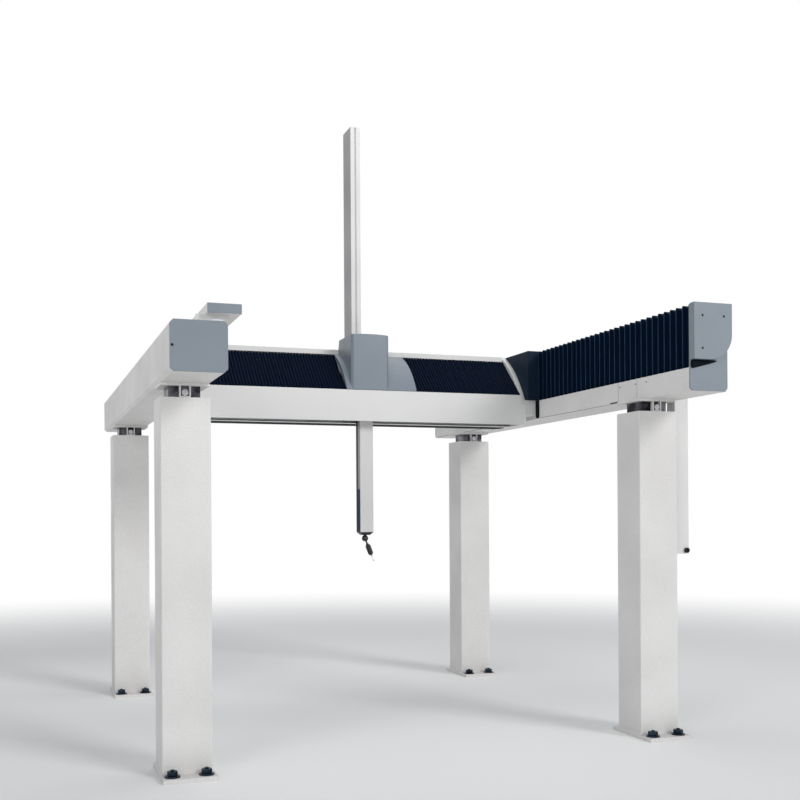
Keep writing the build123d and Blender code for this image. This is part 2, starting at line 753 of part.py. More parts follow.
def saddle():
    """The inverted U over the right beam, with the neck that carries the bridge."""
    reach = saddle_inside + SADDLE_WALL
    top = saddle_ceiling + SADDLE_ROOF
    skirt = beam_bottom + SADDLE_SKIRT
    body = block(right_line - reach, right_line + reach, saddle_front, bridge_back, skirt, top)
    body -= block(right_line - saddle_inside, right_line + saddle_inside, saddle_front, bridge_back,
                  skirt, saddle_ceiling)
    neck_low = BRIDGE_BOTTOM + SADDLE_NECK_BOTTOM
    neck_right = right_line - saddle_inside
    neck = block(bridge_right, neck_right, girder_front, bridge_back, neck_low, saddle_ceiling)
    return body + neck


def pad_x(x_face, y, z, sign):
    """An air bearing that faces along X: disc on the strip, neck on its carrier."""
    disc = Pos(x_face + sign * PAD_DISC / 2, y, z) * Rot(0, 90, 0) * Cylinder(PAD_R, PAD_DISC)
    neck_length = PAD_THICK - PAD_DISC
    neck_middle = x_face + sign * (PAD_DISC + neck_length / 2)
    return disc + Pos(neck_middle, y, z) * Rot(0, 90, 0) * Cylinder(PAD_NECK_R, neck_length)


def pad_y(x, y_face, z):
    """An air bearing that faces along +Y."""
    disc = bar_y(x, z, y_face - PAD_DISC, y_face, PAD_R)
    return disc + bar_y(x, z, y_face - PAD_THICK, y_face - PAD_DISC, PAD_NECK_R)


def pad_z(x, y, z_face):
    """An air bearing that faces down."""
    disc = upright(x, y, z_face, z_face + PAD_DISC, PAD_R)
    return disc + upright(x, y, z_face + PAD_DISC, z_face + PAD_THICK, PAD_NECK_R)


def bridge_pads():
    """Every air bearing between the bridge and the two beams."""
    pads = []
    z_side = side_strip_z + SIDE_STRIP_HEIGHT / 2
    strip_x = WEB_WIDTH / 2 - TOP_STRIP_INSET - TOP_STRIP_WIDTH / 2
    for y in (saddle_front + SADDLE_PAD_INSET, bridge_back - SADDLE_PAD_INSET):
        for side in (-1, 1):
            face = right_line + side * (side_strip_face + AIR_GAP)
            pads.append(pad_x(face, y, z_side, side))
            pads.append(pad_z(right_line + side * strip_x, y, web_top + STRIP_THICK + AIR_GAP))
        x = left_line + LEFT_BEAM_WIDTH / 2 - LEFT_STRIP_FROM_EDGE - LEFT_STRIP_WIDTH / 2
        pads.append(pad_z(x, y, beam_top + STRIP_THICK + AIR_GAP))
    return pads


def saddle_cover():
    """The housing over the saddle, open below and towards the bridge."""
    low = BRIDGE_BOTTOM + SADDLE_COVER_BOTTOM
    right = guard_right + SADDLE_COVER_SIDE
    body = block(bridge_right, right, cover_front, cover_back, low, guard_top)
    sheet = SADDLE_COVER_SHEET
    ceiling = guard_top - sheet
    body -= block(bridge_right + sheet, right - sheet, cover_front + sheet, cover_back - sheet, low, ceiling)
    body -= prism_x(end_plate_outline(), bridge_right, bridge_right + sheet)
    half = SADDLE_COVER_WINDOW
    body -= block(right_line - half, right_line + half, cover_front, cover_back, low, saddle_ceiling)
    return body


def leg_fairing():
    """The light fairing under the saddle cover, beside the beam's foot."""
    low = BRIDGE_BOTTOM + FAIRING_BOTTOM
    high = BRIDGE_BOTTOM + SADDLE_COVER_BOTTOM
    right = guard_left - FAIRING_CLEAR
    front = BRIDGE_FRONT + FAIRING_FRONT
    back = BRIDGE_FRONT + FAIRING_BACK
    body = block(bridge_right, right, front, back, low, high)
    return body - block(bridge_right + FAIRING_SHEET, right - FAIRING_SHEET, front + FAIRING_SHEET,
                        back - FAIRING_SHEET, low + FAIRING_SHEET, high)


def left_arm():
    """The arm from the bridge's left end plate over the left beam, under the roof."""
    low = beam_top + STRIP_THICK + AIR_GAP + PAD_THICK
    high = low + ARM_PLATE
    x_low = left_line + LEFT_BEAM_WIDTH / 2 - LEFT_STRIP_FROM_EDGE - LEFT_STRIP_WIDTH - ARM_REACH
    body = block(x_low, bridge_left, BRIDGE_FRONT + ARM_FRONT, bridge_back, low, high)
    side = left_line + LEFT_BEAM_WIDTH / 2 + ARM_CLEAR
    gusset = ring([(side, low), (bridge_left, low), (bridge_left, low - ARM_GUSSET_DEPTH),
                   (side, low - ARM_CLEAR)])
    for y in (saddle_front + SADDLE_PAD_INSET, bridge_back - SADDLE_PAD_INSET):
        body += prism_y(gusset, y - ARM_GUSSET / 2, y + ARM_GUSSET / 2)
    return body


def x_strips():
    """The two ground strips on the girder's front."""
    return [block(bay_left, bay_right, x_strip_face, girder_front, z, z + X_STRIP_HEIGHT)
            for z in (X_STRIP_LOW, X_STRIP_HIGH)]


def x_scale():
    """The steel scale on the girder's front."""
    face = girder_front - SCALE_THICK
    return block(bay_left, bay_right, face, girder_front, X_SCALE_Z, X_SCALE_Z + SCALE_WIDTH)


def y_read_head():
    """The reader on the saddle's inner wall, facing the long scale."""
    z = beam_bottom + SCALE_RISE + SCALE_WIDTH / 2
    x_low = right_line - saddle_inside
    x_high = right_line - WEB_WIDTH / 2 - SCALE_THICK - AIR_GAP
    y = (saddle_front + bridge_back) / 2
    half = READ_HEAD / 2
    half_depth = READ_HEAD_DEPTH / 2
    return block(x_low, x_high, y - half, y + half, z - half_depth, z + half_depth)


def y_wheel_place():
    """The Y wheel's axis and its lower face."""
    x = right_line - side_strip_face - WHEEL_RUN - Y_WHEEL_R
    y = saddle_front - Y_WHEEL_R - MOTOR_PLATE
    z = side_strip_z + SIDE_STRIP_HEIGHT / 2 - Y_WHEEL_FACE / 2
    return x, y, z


def y_wheel():
    """The friction wheel that drives the bridge, with its shaft."""
    x, y, z = y_wheel_place()
    top = z + Y_WHEEL_FACE
    shaft_top = top + MOTOR_SHOULDER + MOTOR_PLATE + SHAFT_IN_MOTOR
    return upright(x, y, z, top, Y_WHEEL_R) + upright(x, y, top, shaft_top, SHAFT_R)


def y_drive():
    """The Y motor on its plate, which is bolted to the saddle's front."""
    x, y, z = y_wheel_place()
    plate_low = z + Y_WHEEL_FACE + MOTOR_SHOULDER
    plate_high = plate_low + MOTOR_PLATE
    plate = block(x - Y_MOTOR_R, x + Y_MOTOR_R, y - Y_MOTOR_R, saddle_front, plate_low, plate_high)
    motor = upright(x, y, plate_high, plate_high + Y_MOTOR, Y_MOTOR_R)
    bore = upright(x, y, plate_low, plate_high + SHAFT_IN_MOTOR + SHAFT_RUN, SHAFT_R + SHAFT_RUN)
    return plate + motor - bore


def carriage_plate():
    """The carriage's back plate, its lip on the upper strip, the cover's ears and the column's shelf."""
    left = RAM_CENTRE_X - PLATE_HALF
    right = RAM_CENTRE_X + PLATE_HALF
    body = block(left, right, plate_front, plate_back, PLATE_BOTTOM, PLATE_TOP)
    lip_low = X_STRIP_HIGH + X_STRIP_HEIGHT + AIR_GAP + X_LIP_PAD
    body += block(left, right, plate_back, girder_front - SHELF_GAP, lip_low, lip_low + X_LIP)
    half = UPRIGHT_WIDTH / 2
    shelf_low = rim_top + SHELF_GAP
    body += block(RAM_CENTRE_X - half, RAM_CENTRE_X + half, plate_back, plate_back + UPRIGHT_THICK,
                  PLATE_TOP, column_base)
    body += block(RAM_CENTRE_X - half, RAM_CENTRE_X + half, plate_back, column_back, shelf_low, column_base)
    body += block(RAM_CENTRE_X - half, RAM_CENTRE_X + half, plate_front, plate_back + UPRIGHT_THICK,
                  lip_low + X_LIP, PLATE_TOP)
    reach = TOWER_HALF - COVER_SHEET
    body += block(RAM_CENTRE_X - reach, RAM_CENTRE_X + reach, plate_back, plate_back + UPRIGHT_THICK,
                  rim_top - EAR_HEIGHT, rim_top)
    return body


def guide_ring(z_low):
    """A closed frame round the ram, bolted to the back plate."""
    clear = AIR_GAP + RAM_PAD_THICK
    left = ram_left - clear
    right = ram_right + clear
    front = ram_front - clear
    z_high = z_low + RING_HEIGHT
    stock = block(left - RING_WALL, right + RING_WALL, front - RING_WALL, plate_front, z_low, z_high)
    return stock - block(left, right, front, plate_front, z_low, z_high)


def carriage_pads():
    """The air bearings of the carriage: round the ram, on the girder's strips and on the lip."""
    pads = []
    for ring_low in (RING_LOW, RING_HIGH):
        low = ring_low + (RING_HEIGHT - RAM_PAD_HEIGHT) / 2
        high = low + RAM_PAD_HEIGHT
        half = RAM_PAD_WIDTH / 2
        x_low = RAM_CENTRE_X - half
        x_high = RAM_CENTRE_X + half
        y_low = ram_centre_y - half
        left_face = ram_left - AIR_GAP
        right_face = ram_right + AIR_GAP
        front_face = ram_front - AIR_GAP
        pads.append(block(x_low, x_high, front_face - RAM_PAD_THICK, front_face, low, high))
        pads.append(block(x_low, x_high, ram_back + AIR_GAP, plate_front, low, high))
        pads.append(block(right_face, right_face + RAM_PAD_THICK, y_low, y_low + RAM_PAD_WIDTH, low, high))
        pads.append(block(left_face - RAM_PAD_THICK, left_face, y_low, y_low + RAM_PAD_WIDTH, low, high))
    for z in (X_STRIP_LOW, X_STRIP_HIGH):
        for side in (-1, 1):
            x = RAM_CENTRE_X + side * X_PAD_SPREAD
            pads.append(pad_y(x, x_strip_face - AIR_GAP, z + X_STRIP_HEIGHT / 2))
    lip_low = X_STRIP_HIGH + X_STRIP_HEIGHT + AIR_GAP
    for side in (-1, 1):
        x = RAM_CENTRE_X + side * (PLATE_HALF - X_LIP_PAD_WIDTH / 2)
        half = X_LIP_PAD_WIDTH / 2
        pads.append(block(x - half, x + half, x_strip_face + AIR_GAP, girder_front - SHELF_GAP,
                          lip_low, lip_low + X_LIP_PAD))
    return pads


def x_read_head():
    """The reader on the carriage, facing the girder's scale."""
    half = READ_HEAD / 2
    z = X_SCALE_Z + SCALE_WIDTH / 2
    return block(RAM_CENTRE_X - half, RAM_CENTRE_X + half, plate_back, girder_front - SCALE_THICK - AIR_GAP,
                 z - READ_HEAD_DEPTH / 2, z + READ_HEAD_DEPTH / 2)


def x_wheel_place():
    """The X wheel's axis and its lower face."""
    x = RAM_CENTRE_X + PLATE_HALF + MOTOR_SHOULDER + X_WHEEL_R
    y = x_strip_face - WHEEL_RUN - X_WHEEL_R
    return x, y, X_STRIP_LOW + (X_STRIP_HEIGHT - X_WHEEL_FACE) / 2


def x_wheel():
    """The friction wheel that drives the carriage, with its shaft."""
    x, y, z = x_wheel_place()
    top = z + X_WHEEL_FACE
    shaft_top = top + MOTOR_SHOULDER + MOTOR_PLATE + SHAFT_IN_MOTOR
    return upright(x, y, z, top, X_WHEEL_R) + upright(x, y, top, shaft_top, SHAFT_R)


def x_drive():
    """The X motor on its plate, at the right edge of the back plate."""
    x, y, z = x_wheel_place()
    plate_low = z + X_WHEEL_FACE + MOTOR_SHOULDER
    plate_high = plate_low + MOTOR_PLATE
    edge = RAM_CENTRE_X + PLATE_HALF
    plate = block(edge, x + X_MOTOR_R, y - X_MOTOR_R, y + X_MOTOR_R - MOTOR_SHOULDER, plate_low, plate_high)
    motor = upright(x, y, plate_high, plate_high + X_MOTOR, X_MOTOR_R)
    bore = upright(x, y, plate_low, plate_high + SHAFT_IN_MOTOR + SHAFT_RUN, SHAFT_R + SHAFT_RUN)
    return plate + motor - bore


def z_wheel_place():
    """The Z wheel's axis and its rear face."""
    x = ram_left - WHEEL_RUN - Z_WHEEL_R
    z = (RING_LOW + RING_HIGH + RING_HEIGHT) / 2
    return x, ram_back - MOTOR_PLATE, z


def z_wheel():
    """The friction wheel that drives the ram, with its shaft."""
    x, y_back, z = z_wheel_place()
    front = y_back - Z_WHEEL_FACE
    shaft_front = front - MOTOR_SHOULDER - MOTOR_PLATE - SHAFT_IN_MOTOR
    return bar_y(x, z, front, y_back, Z_WHEEL_R) + bar_y(x, z, shaft_front, front, SHAFT_R)


def z_drive():
    """The Z motor on its plate, which a block joins to the back plate."""
    x, y_back, z = z_wheel_place()
    plate_back_face = y_back - Z_WHEEL_FACE - MOTOR_SHOULDER
    plate_front_face = plate_back_face - MOTOR_PLATE
    outer = x - Z_WHEEL_R - MOTOR_SHOULDER
    x_low = RAM_CENTRE_X - PLATE_HALF
    low = z - Z_MOTOR_R
    high = z + Z_MOTOR_R
    plate = block(x_low, x + Z_MOTOR_R - MOTOR_SHOULDER, plate_front_face, plate_back_face, low, high)
    stand = block(x_low, outer, plate_back_face, plate_front, low, high)
    motor = bar_y(x, z, plate_front_face - Z_MOTOR, plate_front_face, Z_MOTOR_R)
    bore = bar_y(x, z, plate_front_face - SHAFT_IN_MOTOR - SHAFT_RUN, plate_back_face, SHAFT_R + SHAFT_RUN)
    return plate + stand + motor - bore


def cover_arch(inset):
    """The arched cover's section over the bellows, from the front panel up to the rim."""
    start = (BRIDGE_FRONT + inset, BRIDGE_BOTTOM + PANEL_HEIGHT + COVER_SEAT_GAP)
    end = (slope_end[0], slope_end[1] + COVER_SEAT_GAP)
    run = end[0] - start[0]
    rise = end[1] - start[1]
    chord = math.hypot(run, rise)
    lift = COVER_BULGE - inset
    middle = (start[0] + run / 2 - lift * rise / chord, start[1] + rise / 2 + lift * run / chord)
    return start, middle, end


def carriage_cover():
    """One moulding: the arched skirt over the bellows and the tower round the ram."""
    low_z = BRIDGE_BOTTOM + PANEL_HEIGHT + COVER_SEAT_GAP
    start, middle, end = cover_arch(0)
    skirt_outline = Curve() + [ThreePointArc(start, middle, end), Line(end, start)]
    skirt_left = RAM_CENTRE_X - COVER_LEFT
    skirt_right = RAM_CENTRE_X + COVER_RIGHT
    skirt = prism_x(skirt_outline, skirt_left, skirt_right)
    tower_left = RAM_CENTRE_X - TOWER_HALF
    tower_right = RAM_CENTRE_X + TOWER_HALF
    back = BRIDGE_FRONT + TOWER_DEPTH
    crown = TOWER_TOP + TOWER_CROWN
    side = ring([(BRIDGE_FRONT, low_z), end, (end[0], TOWER_HIP), (back, crown), (BRIDGE_FRONT, crown)])
    tower = prism_x(side, tower_left, tower_right)
    front_edges = tower.edges().filter_by(Axis.Z).group_by(Axis.Y)[0]
    tower = chamfer(front_edges, TOWER_EDGE)
    top = Curve() + [
        Line((tower_left, low_z), (tower_left, TOWER_TOP)),
        ThreePointArc((tower_left, TOWER_TOP), (RAM_CENTRE_X, crown), (tower_right, TOWER_TOP)),
        Line((tower_right, TOWER_TOP), (tower_right, low_z)),
        Line((tower_right, low_z), (tower_left, low_z)),
    ]
    tower &= prism_y(top, BRIDGE_FRONT, end[0])
    start, middle, end = cover_arch(COVER_SHEET)
    hollow_outline = Curve() + [
        ThreePointArc(start, middle, end),
        Line(end, (end[0] + HOLLOW_RUN, end[1])),
        Line((end[0] + HOLLOW_RUN, end[1]), (end[0] + HOLLOW_RUN, BRIDGE_BOTTOM)),
        Line((end[0] + HOLLOW_RUN, BRIDGE_BOTTOM), (start[0], BRIDGE_BOTTOM)),
        Line((start[0], BRIDGE_BOTTOM), start),
    ]
    hollow = prism_x(hollow_outline, skirt_left + COVER_SHEET, skirt_right - COVER_SHEET)
    front = BRIDGE_FRONT + COVER_SHEET
    well = block(tower_left + COVER_SHEET, tower_right - COVER_SHEET, front, cover_back, BRIDGE_BOTTOM,
                 TOWER_TOP - COVER_SHEET)
    well = chamfer(well.edges().filter_by(Axis.Z).group_by(Axis.Y)[0], TOWER_EDGE)
    mouth = block(RAM_CENTRE_X - TOWER_MOUTH_HALF, RAM_CENTRE_X + TOWER_MOUTH_HALF,
                  BRIDGE_FRONT + TOWER_MOUTH_FRONT, cover_back, TOWER_TOP - 2 * COVER_SHEET,
                  crown + COVER_SHEET)
    return skirt + tower - hollow - well - mouth


def column():
    """The C-section column and its welded cap; the ram's arm runs in the front slot."""
    middle_y = (column_front + column_back) / 2
    shell = tube(COLUMN_WIDTH, COLUMN_DEPTH, column_base, cylinder_top, COLUMN_WALL, COLUMN_WALL / 2)
    shell = Pos(RAM_CENTRE_X, middle_y, 0) * shell
    half = COLUMN_SLOT / 2
    shell -= block(RAM_CENTRE_X - half, RAM_CENTRE_X + half, column_front, column_front + COLUMN_WALL,
                   column_base, cylinder_top)
    half = COLUMN_WIDTH / 2
    cap = block(RAM_CENTRE_X - half, RAM_CENTRE_X + half, column_front, column_back, cylinder_top, column_top)
    return shell + fillet(cap.edges().filter_by(Axis.Z), COLUMN_WALL / 2)


def cylinder():
    """The counterbalance cylinder, hung from the column's cap."""
    body = upright(RAM_CENTRE_X, cylinder_y, cylinder_bottom, cylinder_top, CYLINDER_R)
    body -= upright(RAM_CENTRE_X, cylinder_y, cylinder_bottom + CYLINDER_END, cylinder_top - CYLINDER_END,
                    CYLINDER_BORE_R)
    return body - upright(RAM_CENTRE_X, cylinder_y, cylinder_bottom, cylinder_bottom + CYLINDER_END,
                          PISTON_ROD_R + PISTON_RUN)


def piston_rod():
    """The counterbalance piston and the rod down to the ram's arm."""
    rod = upright(RAM_CENTRE_X, cylinder_y, ram_crown, piston_rest, PISTON_ROD_R)
    disc_r = CYLINDER_BORE_R - PISTON_RUN
    return rod + upright(RAM_CENTRE_X, cylinder_y, piston_rest, piston_rest + PISTON, disc_r)


def ram():
    """The square hollow ram."""
    stock = block(ram_left, ram_right, ram_front, ram_back, RAM_BOTTOM, RAM_TOP)
    stock = chamfer(stock.edges().filter_by(Axis.Z), RAM_CHAMFER)
    stock -= ram_strip()
    stock -= ram_panel()
    return stock - block(ram_left + RAM_WALL, ram_right - RAM_WALL, ram_front + RAM_WALL, ram_back - RAM_WALL,
                         RAM_BOTTOM, RAM_TOP)


def ram_arm():
    """The ram's top plate, the blade into the column and the boss under the rod."""
    plate = block(ram_left, ram_right, ram_front, ram_back, RAM_TOP, RAM_TOP + ARM_CAP_PLATE)
    half = ARM_BAR_WIDTH / 2
    bar = block(RAM_CENTRE_X - half, RAM_CENTRE_X + half, ram_front, cylinder_y, RAM_TOP, ram_crown)
    return plate + bar + upright(RAM_CENTRE_X, cylinder_y, RAM_TOP, ram_crown, ARM_BOSS_R)


def ram_strip():
    """The dark drive strip, let in flush on the rear half of the ram's left side."""
    y_low = ram_back - RAM_STRIP_WIDTH - RAM_CHAMFER
    return block(ram_left, ram_left + RAM_STRIP, y_low, ram_back - RAM_CHAMFER,
                 RAM_BOTTOM + RAM_PANEL_HEIGHT, RAM_TOP)


def ram_panel():
    """The dark access panel, let in flush low on the ram's left side."""
    return block(ram_left, ram_left + RAM_PANEL, ram_front + RAM_CHAMFER, ram_back - RAM_CHAMFER, RAM_BOTTOM,
                 RAM_BOTTOM + RAM_PANEL_HEIGHT)


def head_mount():
    """The tapered plate under the ram that carries the probe head."""
    top = Plane.XY.offset(RAM_BOTTOM) * Pos(RAM_CENTRE_X, ram_centre_y) * Rectangle(RAM_SIDE, RAM_SIDE)
    foot_z = RAM_BOTTOM - HEAD_PLATE_HEIGHT
    place = Plane.XY.offset(foot_z) * Pos(RAM_CENTRE_X, ram_centre_y)
    foot = place * Rectangle(HEAD_PLATE_FOOT, HEAD_PLATE_FOOT)
    return loft([top, foot])


def hang(shape):
    """Lean a shape that was modelled under the ball's centre, and put it in place."""
    return Pos(RAM_CENTRE_X, ram_centre_y, ball_z) * Rot(0, -TILT, 0) * shape


def turned(*edges):
    """The solid turned about the upright axis from a closed outline in (radius, height)."""
    return revolve(make_face(Plane.XZ * (Curve() + list(edges))), Axis.Z)


def head_ball():
    """The ball that turns about the upright axis, with the fork for the tilting hub."""
    ball = Pos(RAM_CENTRE_X, ram_centre_y, ball_z) * Sphere(BALL_R)
    top = RAM_BOTTOM - HEAD_PLATE_HEIGHT - HUB_RUN
    ball += upright(RAM_CENTRE_X, ram_centre_y, ball_z, top, BALL_R / 2)
    half = BALL_SLOT / 2
    hub_room = HUB_R + HUB_RUN
    ball -= bar_y(RAM_CENTRE_X, ball_z, ram_centre_y - half, ram_centre_y + half, hub_room)
    ball -= block(RAM_CENTRE_X - BALL_R, RAM_CENTRE_X + BALL_R, ram_centre_y - half, ram_centre_y + half,
                  ball_z - BALL_R, ball_z)
    ball -= block(RAM_CENTRE_X, RAM_CENTRE_X + BALL_R, ram_centre_y - half, ram_centre_y + half,
                  ball_z, ball_z + NECK_R + HUB_RUN + BALL_R / 2)
    pin_room = HUB_PIN_R + HUB_RUN
    return ball - bar_y(RAM_CENTRE_X, ball_z, ram_centre_y - BALL_R, ram_centre_y + BALL_R, pin_room)


def tilt_hub():
    """The hub in the ball's fork, its pin and the neck down to the probe."""
    half = BALL_SLOT / 2 - HUB_RUN
    hub = bar_y(RAM_CENTRE_X, ball_z, ram_centre_y - half, ram_centre_y + half, HUB_R)
    pin_reach = math.sqrt(BALL_R ** 2 - (HUB_PIN_R + HUB_RUN) ** 2)
    hub += bar_y(RAM_CENTRE_X, ball_z, ram_centre_y - pin_reach, ram_centre_y + pin_reach, HUB_PIN_R)
    neck = Pos(0, 0, -PROBE_START / 2) * Cylinder(NECK_R, PROBE_START)
    return hub + hang(neck)


def probe_body():
    """The touch probe: a stepped collar, a tapered nose and the round socket for the stylus."""
    seat = -PROBE_END - SOCKET_DEPTH
    mouth = math.sqrt(SOCKET_R ** 2 - SOCKET_DEPTH ** 2)
    half = math.asin(mouth / SOCKET_R) / 2
    rim = (mouth, -PROBE_END)
    bowl = (SOCKET_R * math.sin(half), seat + SOCKET_R * math.cos(half))
    crown = (0, seat + SOCKET_R)
    collar = (COLLAR_R, -PROBE_START)
    collar_foot = (COLLAR_R, -PROBE_START - COLLAR)
    shoulder = (PROBE_R, -PROBE_START - COLLAR - PROBE_TAPER)
    nose = (PROBE_R, -PROBE_END + NOSE)
    nose_foot = (NOSE_R, -PROBE_END)
    return hang(turned(
        Line((0, -PROBE_START), collar),
        Line(collar, collar_foot),
        Line(collar_foot, shoulder),
        Line(shoulder, nose),
        Line(nose, nose_foot),
        Line(nose_foot, rim),
        ThreePointArc(rim, bowl, crown),
        Line(crown, (0, -PROBE_START)),
    ))


def stylus():
    """The stylus: a ball seat in the probe's socket and a thin stem, cupped for the tip."""
    seat = -PROBE_END - SOCKET_DEPTH
    seat_r = SOCKET_R - STYLUS_RUN
    tip = -STYLUS_LENGTH + TIP_R
    stem_top = (STYLUS_STEM_R, seat - math.sqrt(seat_r ** 2 - STYLUS_STEM_R ** 2))
    stem_foot = (STYLUS_STEM_R, tip + math.sqrt(TIP_R ** 2 - STYLUS_STEM_R ** 2))
    half = math.asin(STYLUS_STEM_R / TIP_R) / 2
    cup = (TIP_R * math.sin(half), tip + TIP_R * math.cos(half))
    return hang(turned(
        ThreePointArc((0, seat + seat_r), (seat_r, seat), stem_top),
        Line(stem_top, stem_foot),
        ThreePointArc(stem_foot, cup, (0, tip + TIP_R)),
        Line((0, tip + TIP_R), (0, seat + seat_r)),
    ))


def stylus_tip():
    """The stylus's ball."""
    return hang(Pos(0, 0, -STYLUS_LENGTH + TIP_R) * Sphere(TIP_R))


def main():
    """Build every node and write it."""
    os.makedirs("parts", exist_ok=True)
    post = pillar()
    front = -BAY_LENGTH / 2
    rear = BAY_LENGTH / 2
    for name, x in (("left_pillars", left_line), ("right_pillars", right_pillar_line)):
        save(name, Pos(x, front, 0) * post, Pos(x, rear, 0) * post)
    anchors, wedges, brackets, screws, seats = [], [], [], [], []
    corners = [(left_line, front), (right_pillar_line, front), (left_line, rear), (right_pillar_line, rear)]
    for x, y in corners:
        anchor_y = y - PILLAR_SIDE / 2 - ANCHOR_FROM_PILLAR
        anchors += [anchor(x + side * ANCHOR_PITCH / 2, anchor_y) for side in (-1, 1)]
        wedges += wedge_mount(x, y)
        brackets.append(jack_bracket(x, y))
        screws.append(jack_screw(x, y))
        seats.append(seat_plate(x, y))
    save("floor_anchors", *anchors)
    save("levelling_wedges", *wedges)
    save("jack_brackets", *brackets)
    save("jack_screws", *screws)
    save("beam_seat_plates", *seats)

    save("left_beam", left_beam())
    save("right_beam", right_beam())
    save("beam_end_caps", left_beam_cap(-1), left_beam_cap(1), right_beam_cap(-1), right_beam_cap(1))
    save("guard_end_caps", guard_cap(-1), guard_cap(1))
    save("cap_screws", *cap_screws())
    save("beam_guide_strips", *main_strips())
    save("y_scale", y_scale())
    save("left_guide_roof", left_roof())
    save("roof_end_caps", left_roof_cap(-1), left_roof_cap(1))
    save("roof_brackets", roof_bracket(-1), roof_bracket(1))
    save("service_duct", duct())
    save("duct_gland", duct_gland())

    save("bridge_girder", girder())
    save("bridge_end_plates", end_plate(bridge_left), end_plate(bay_right))
    save("bridge_front_panel", front_panel())
    save("bridge_top_cover", top_cover())
    save("bridge_under_cover", under_cover())
    save("bridge_left_arm", left_arm())
    save("bridge_saddle", saddle())
    save("saddle_cover", saddle_cover())
    save("leg_fairing", leg_fairing())
    save("bridge_air_pads", *bridge_pads())
    save("girder_guide_strips", *x_strips())
    save("x_scale", x_scale())
    save("y_read_head", y_read_head())
    save("y_drive_motor", y_drive())
    save("y_drive_wheel", y_wheel())

    save("y_bellows_front", y_bellows(-beam_end, cover_front))
    save("y_bellows_rear", y_bellows(cover_back, beam_end))
    save("x_bellows_left", x_bellows(bay_left, RAM_CENTRE_X - COVER_LEFT))
    save("x_bellows_right", x_bellows(RAM_CENTRE_X + COVER_RIGHT, bay_right))

    save("carriage_plate", carriage_plate())
    save("ram_guide_rings", guide_ring(RING_LOW), guide_ring(RING_HIGH))
    save("carriage_air_pads", *carriage_pads())
    save("carriage_cover", carriage_cover())
    save("column", column())
    save("counterbalance_cylinder", cylinder())
    save("x_read_head", x_read_head())
    save("x_drive_motor", x_drive())
    save("x_drive_wheel", x_wheel())
    save("z_drive_motor", z_drive())
    save("z_drive_wheel", z_wheel())

    save("ram", ram())
    save("ram_arm", ram_arm())
    save("ram_drive_strip", ram_strip())
    save("ram_side_panel", ram_panel())
    save("counterbalance_piston", piston_rod())
    save("head_mount", head_mount())
    save("head_ball", head_ball())
    save("tilt_hub", tilt_hub())
    save("probe_body", probe_body())
    save("stylus", stylus())
    save("stylus_tip", stylus_tip())


main()
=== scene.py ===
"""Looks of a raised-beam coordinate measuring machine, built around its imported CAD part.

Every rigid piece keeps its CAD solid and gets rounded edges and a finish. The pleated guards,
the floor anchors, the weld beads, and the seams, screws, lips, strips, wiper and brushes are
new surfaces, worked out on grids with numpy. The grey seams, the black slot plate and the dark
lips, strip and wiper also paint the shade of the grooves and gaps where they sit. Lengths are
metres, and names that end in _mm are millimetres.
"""

import logging
import math
from dataclasses import dataclass
from enum import Enum
from typing import ClassVar

import bmesh
import bpy
import numpy as np
from mathutils import Matrix, Vector


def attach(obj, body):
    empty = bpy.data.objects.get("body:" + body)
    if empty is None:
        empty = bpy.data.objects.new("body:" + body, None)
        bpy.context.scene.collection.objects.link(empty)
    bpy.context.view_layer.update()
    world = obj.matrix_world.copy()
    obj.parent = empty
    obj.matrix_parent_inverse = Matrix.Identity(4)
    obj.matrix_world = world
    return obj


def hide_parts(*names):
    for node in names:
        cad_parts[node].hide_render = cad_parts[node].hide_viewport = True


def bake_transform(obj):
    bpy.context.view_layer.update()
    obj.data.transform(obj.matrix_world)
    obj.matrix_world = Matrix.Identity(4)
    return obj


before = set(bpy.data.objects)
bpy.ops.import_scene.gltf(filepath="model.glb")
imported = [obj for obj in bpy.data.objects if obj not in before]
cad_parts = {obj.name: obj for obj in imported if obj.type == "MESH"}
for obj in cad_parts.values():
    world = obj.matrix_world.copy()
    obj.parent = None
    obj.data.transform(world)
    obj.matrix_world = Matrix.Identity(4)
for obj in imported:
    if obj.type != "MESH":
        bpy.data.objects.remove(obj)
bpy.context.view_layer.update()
LOG = logging.getLogger("measuring_machine")
MM = 0.001

Thing = bpy.types.Object
Tree = bpy.types.NodeTree
Socket = bpy.types.NodeSocket
Value = float | tuple[float, ...] | Socket
Pair = tuple[float, float]
Place = tuple[float, float, float]


# Colour and nodes


def linear(code: str) -> tuple[float, float, float, float]:
    """Turn an sRGB hex colour into the linear one that shaders use.

    Args:
        code: Six hex digits after a hash.

    Returns:
        Red, green, blue and an alpha of one.
    """
    parts = [int(code[i : i + 2], 16) / 255 for i in (1, 3, 5)]
    red, green, blue = [c / 12.92 if c <= 0.04045 else ((c + 0.055) / 1.055) ** 2.4 for c in parts]
    return red, green, blue, 1.0


def add_node(
    tree: Tree, kind: str, inputs: dict[str | int, Value] | None = None, **settings: object
) -> bpy.types.Node:
    """Add a node, give it its settings and link or fill its inputs.

    Args:
        tree: The node tree that takes it.
        kind: The node's type name after ShaderNode.
        inputs: Sockets by name or number, each with a value or the socket to link.
        settings: Properties of the node by name.

    Returns:
        The new node.
    """
    node = tree.nodes.new("ShaderNode" + kind)
    for name, value in settings.items():
        setattr(node, name, value)
    for name, value in (inputs or {}).items():
        if isinstance(value, Socket):
            tree.links.new(value, node.inputs[name])
        else:
            node.inputs[name].default_value = value
    return node


def empty_tree(owner: bpy.types.Material | bpy.types.World) -> Tree:
    """Switch on the nodes of a material or the world and clear them.

    Args:
        owner: The material or the world.

    Returns:
        Its node tree.
    """
    owner.use_nodes = True
    owner.node_tree.nodes.clear()
    return owner.node_tree


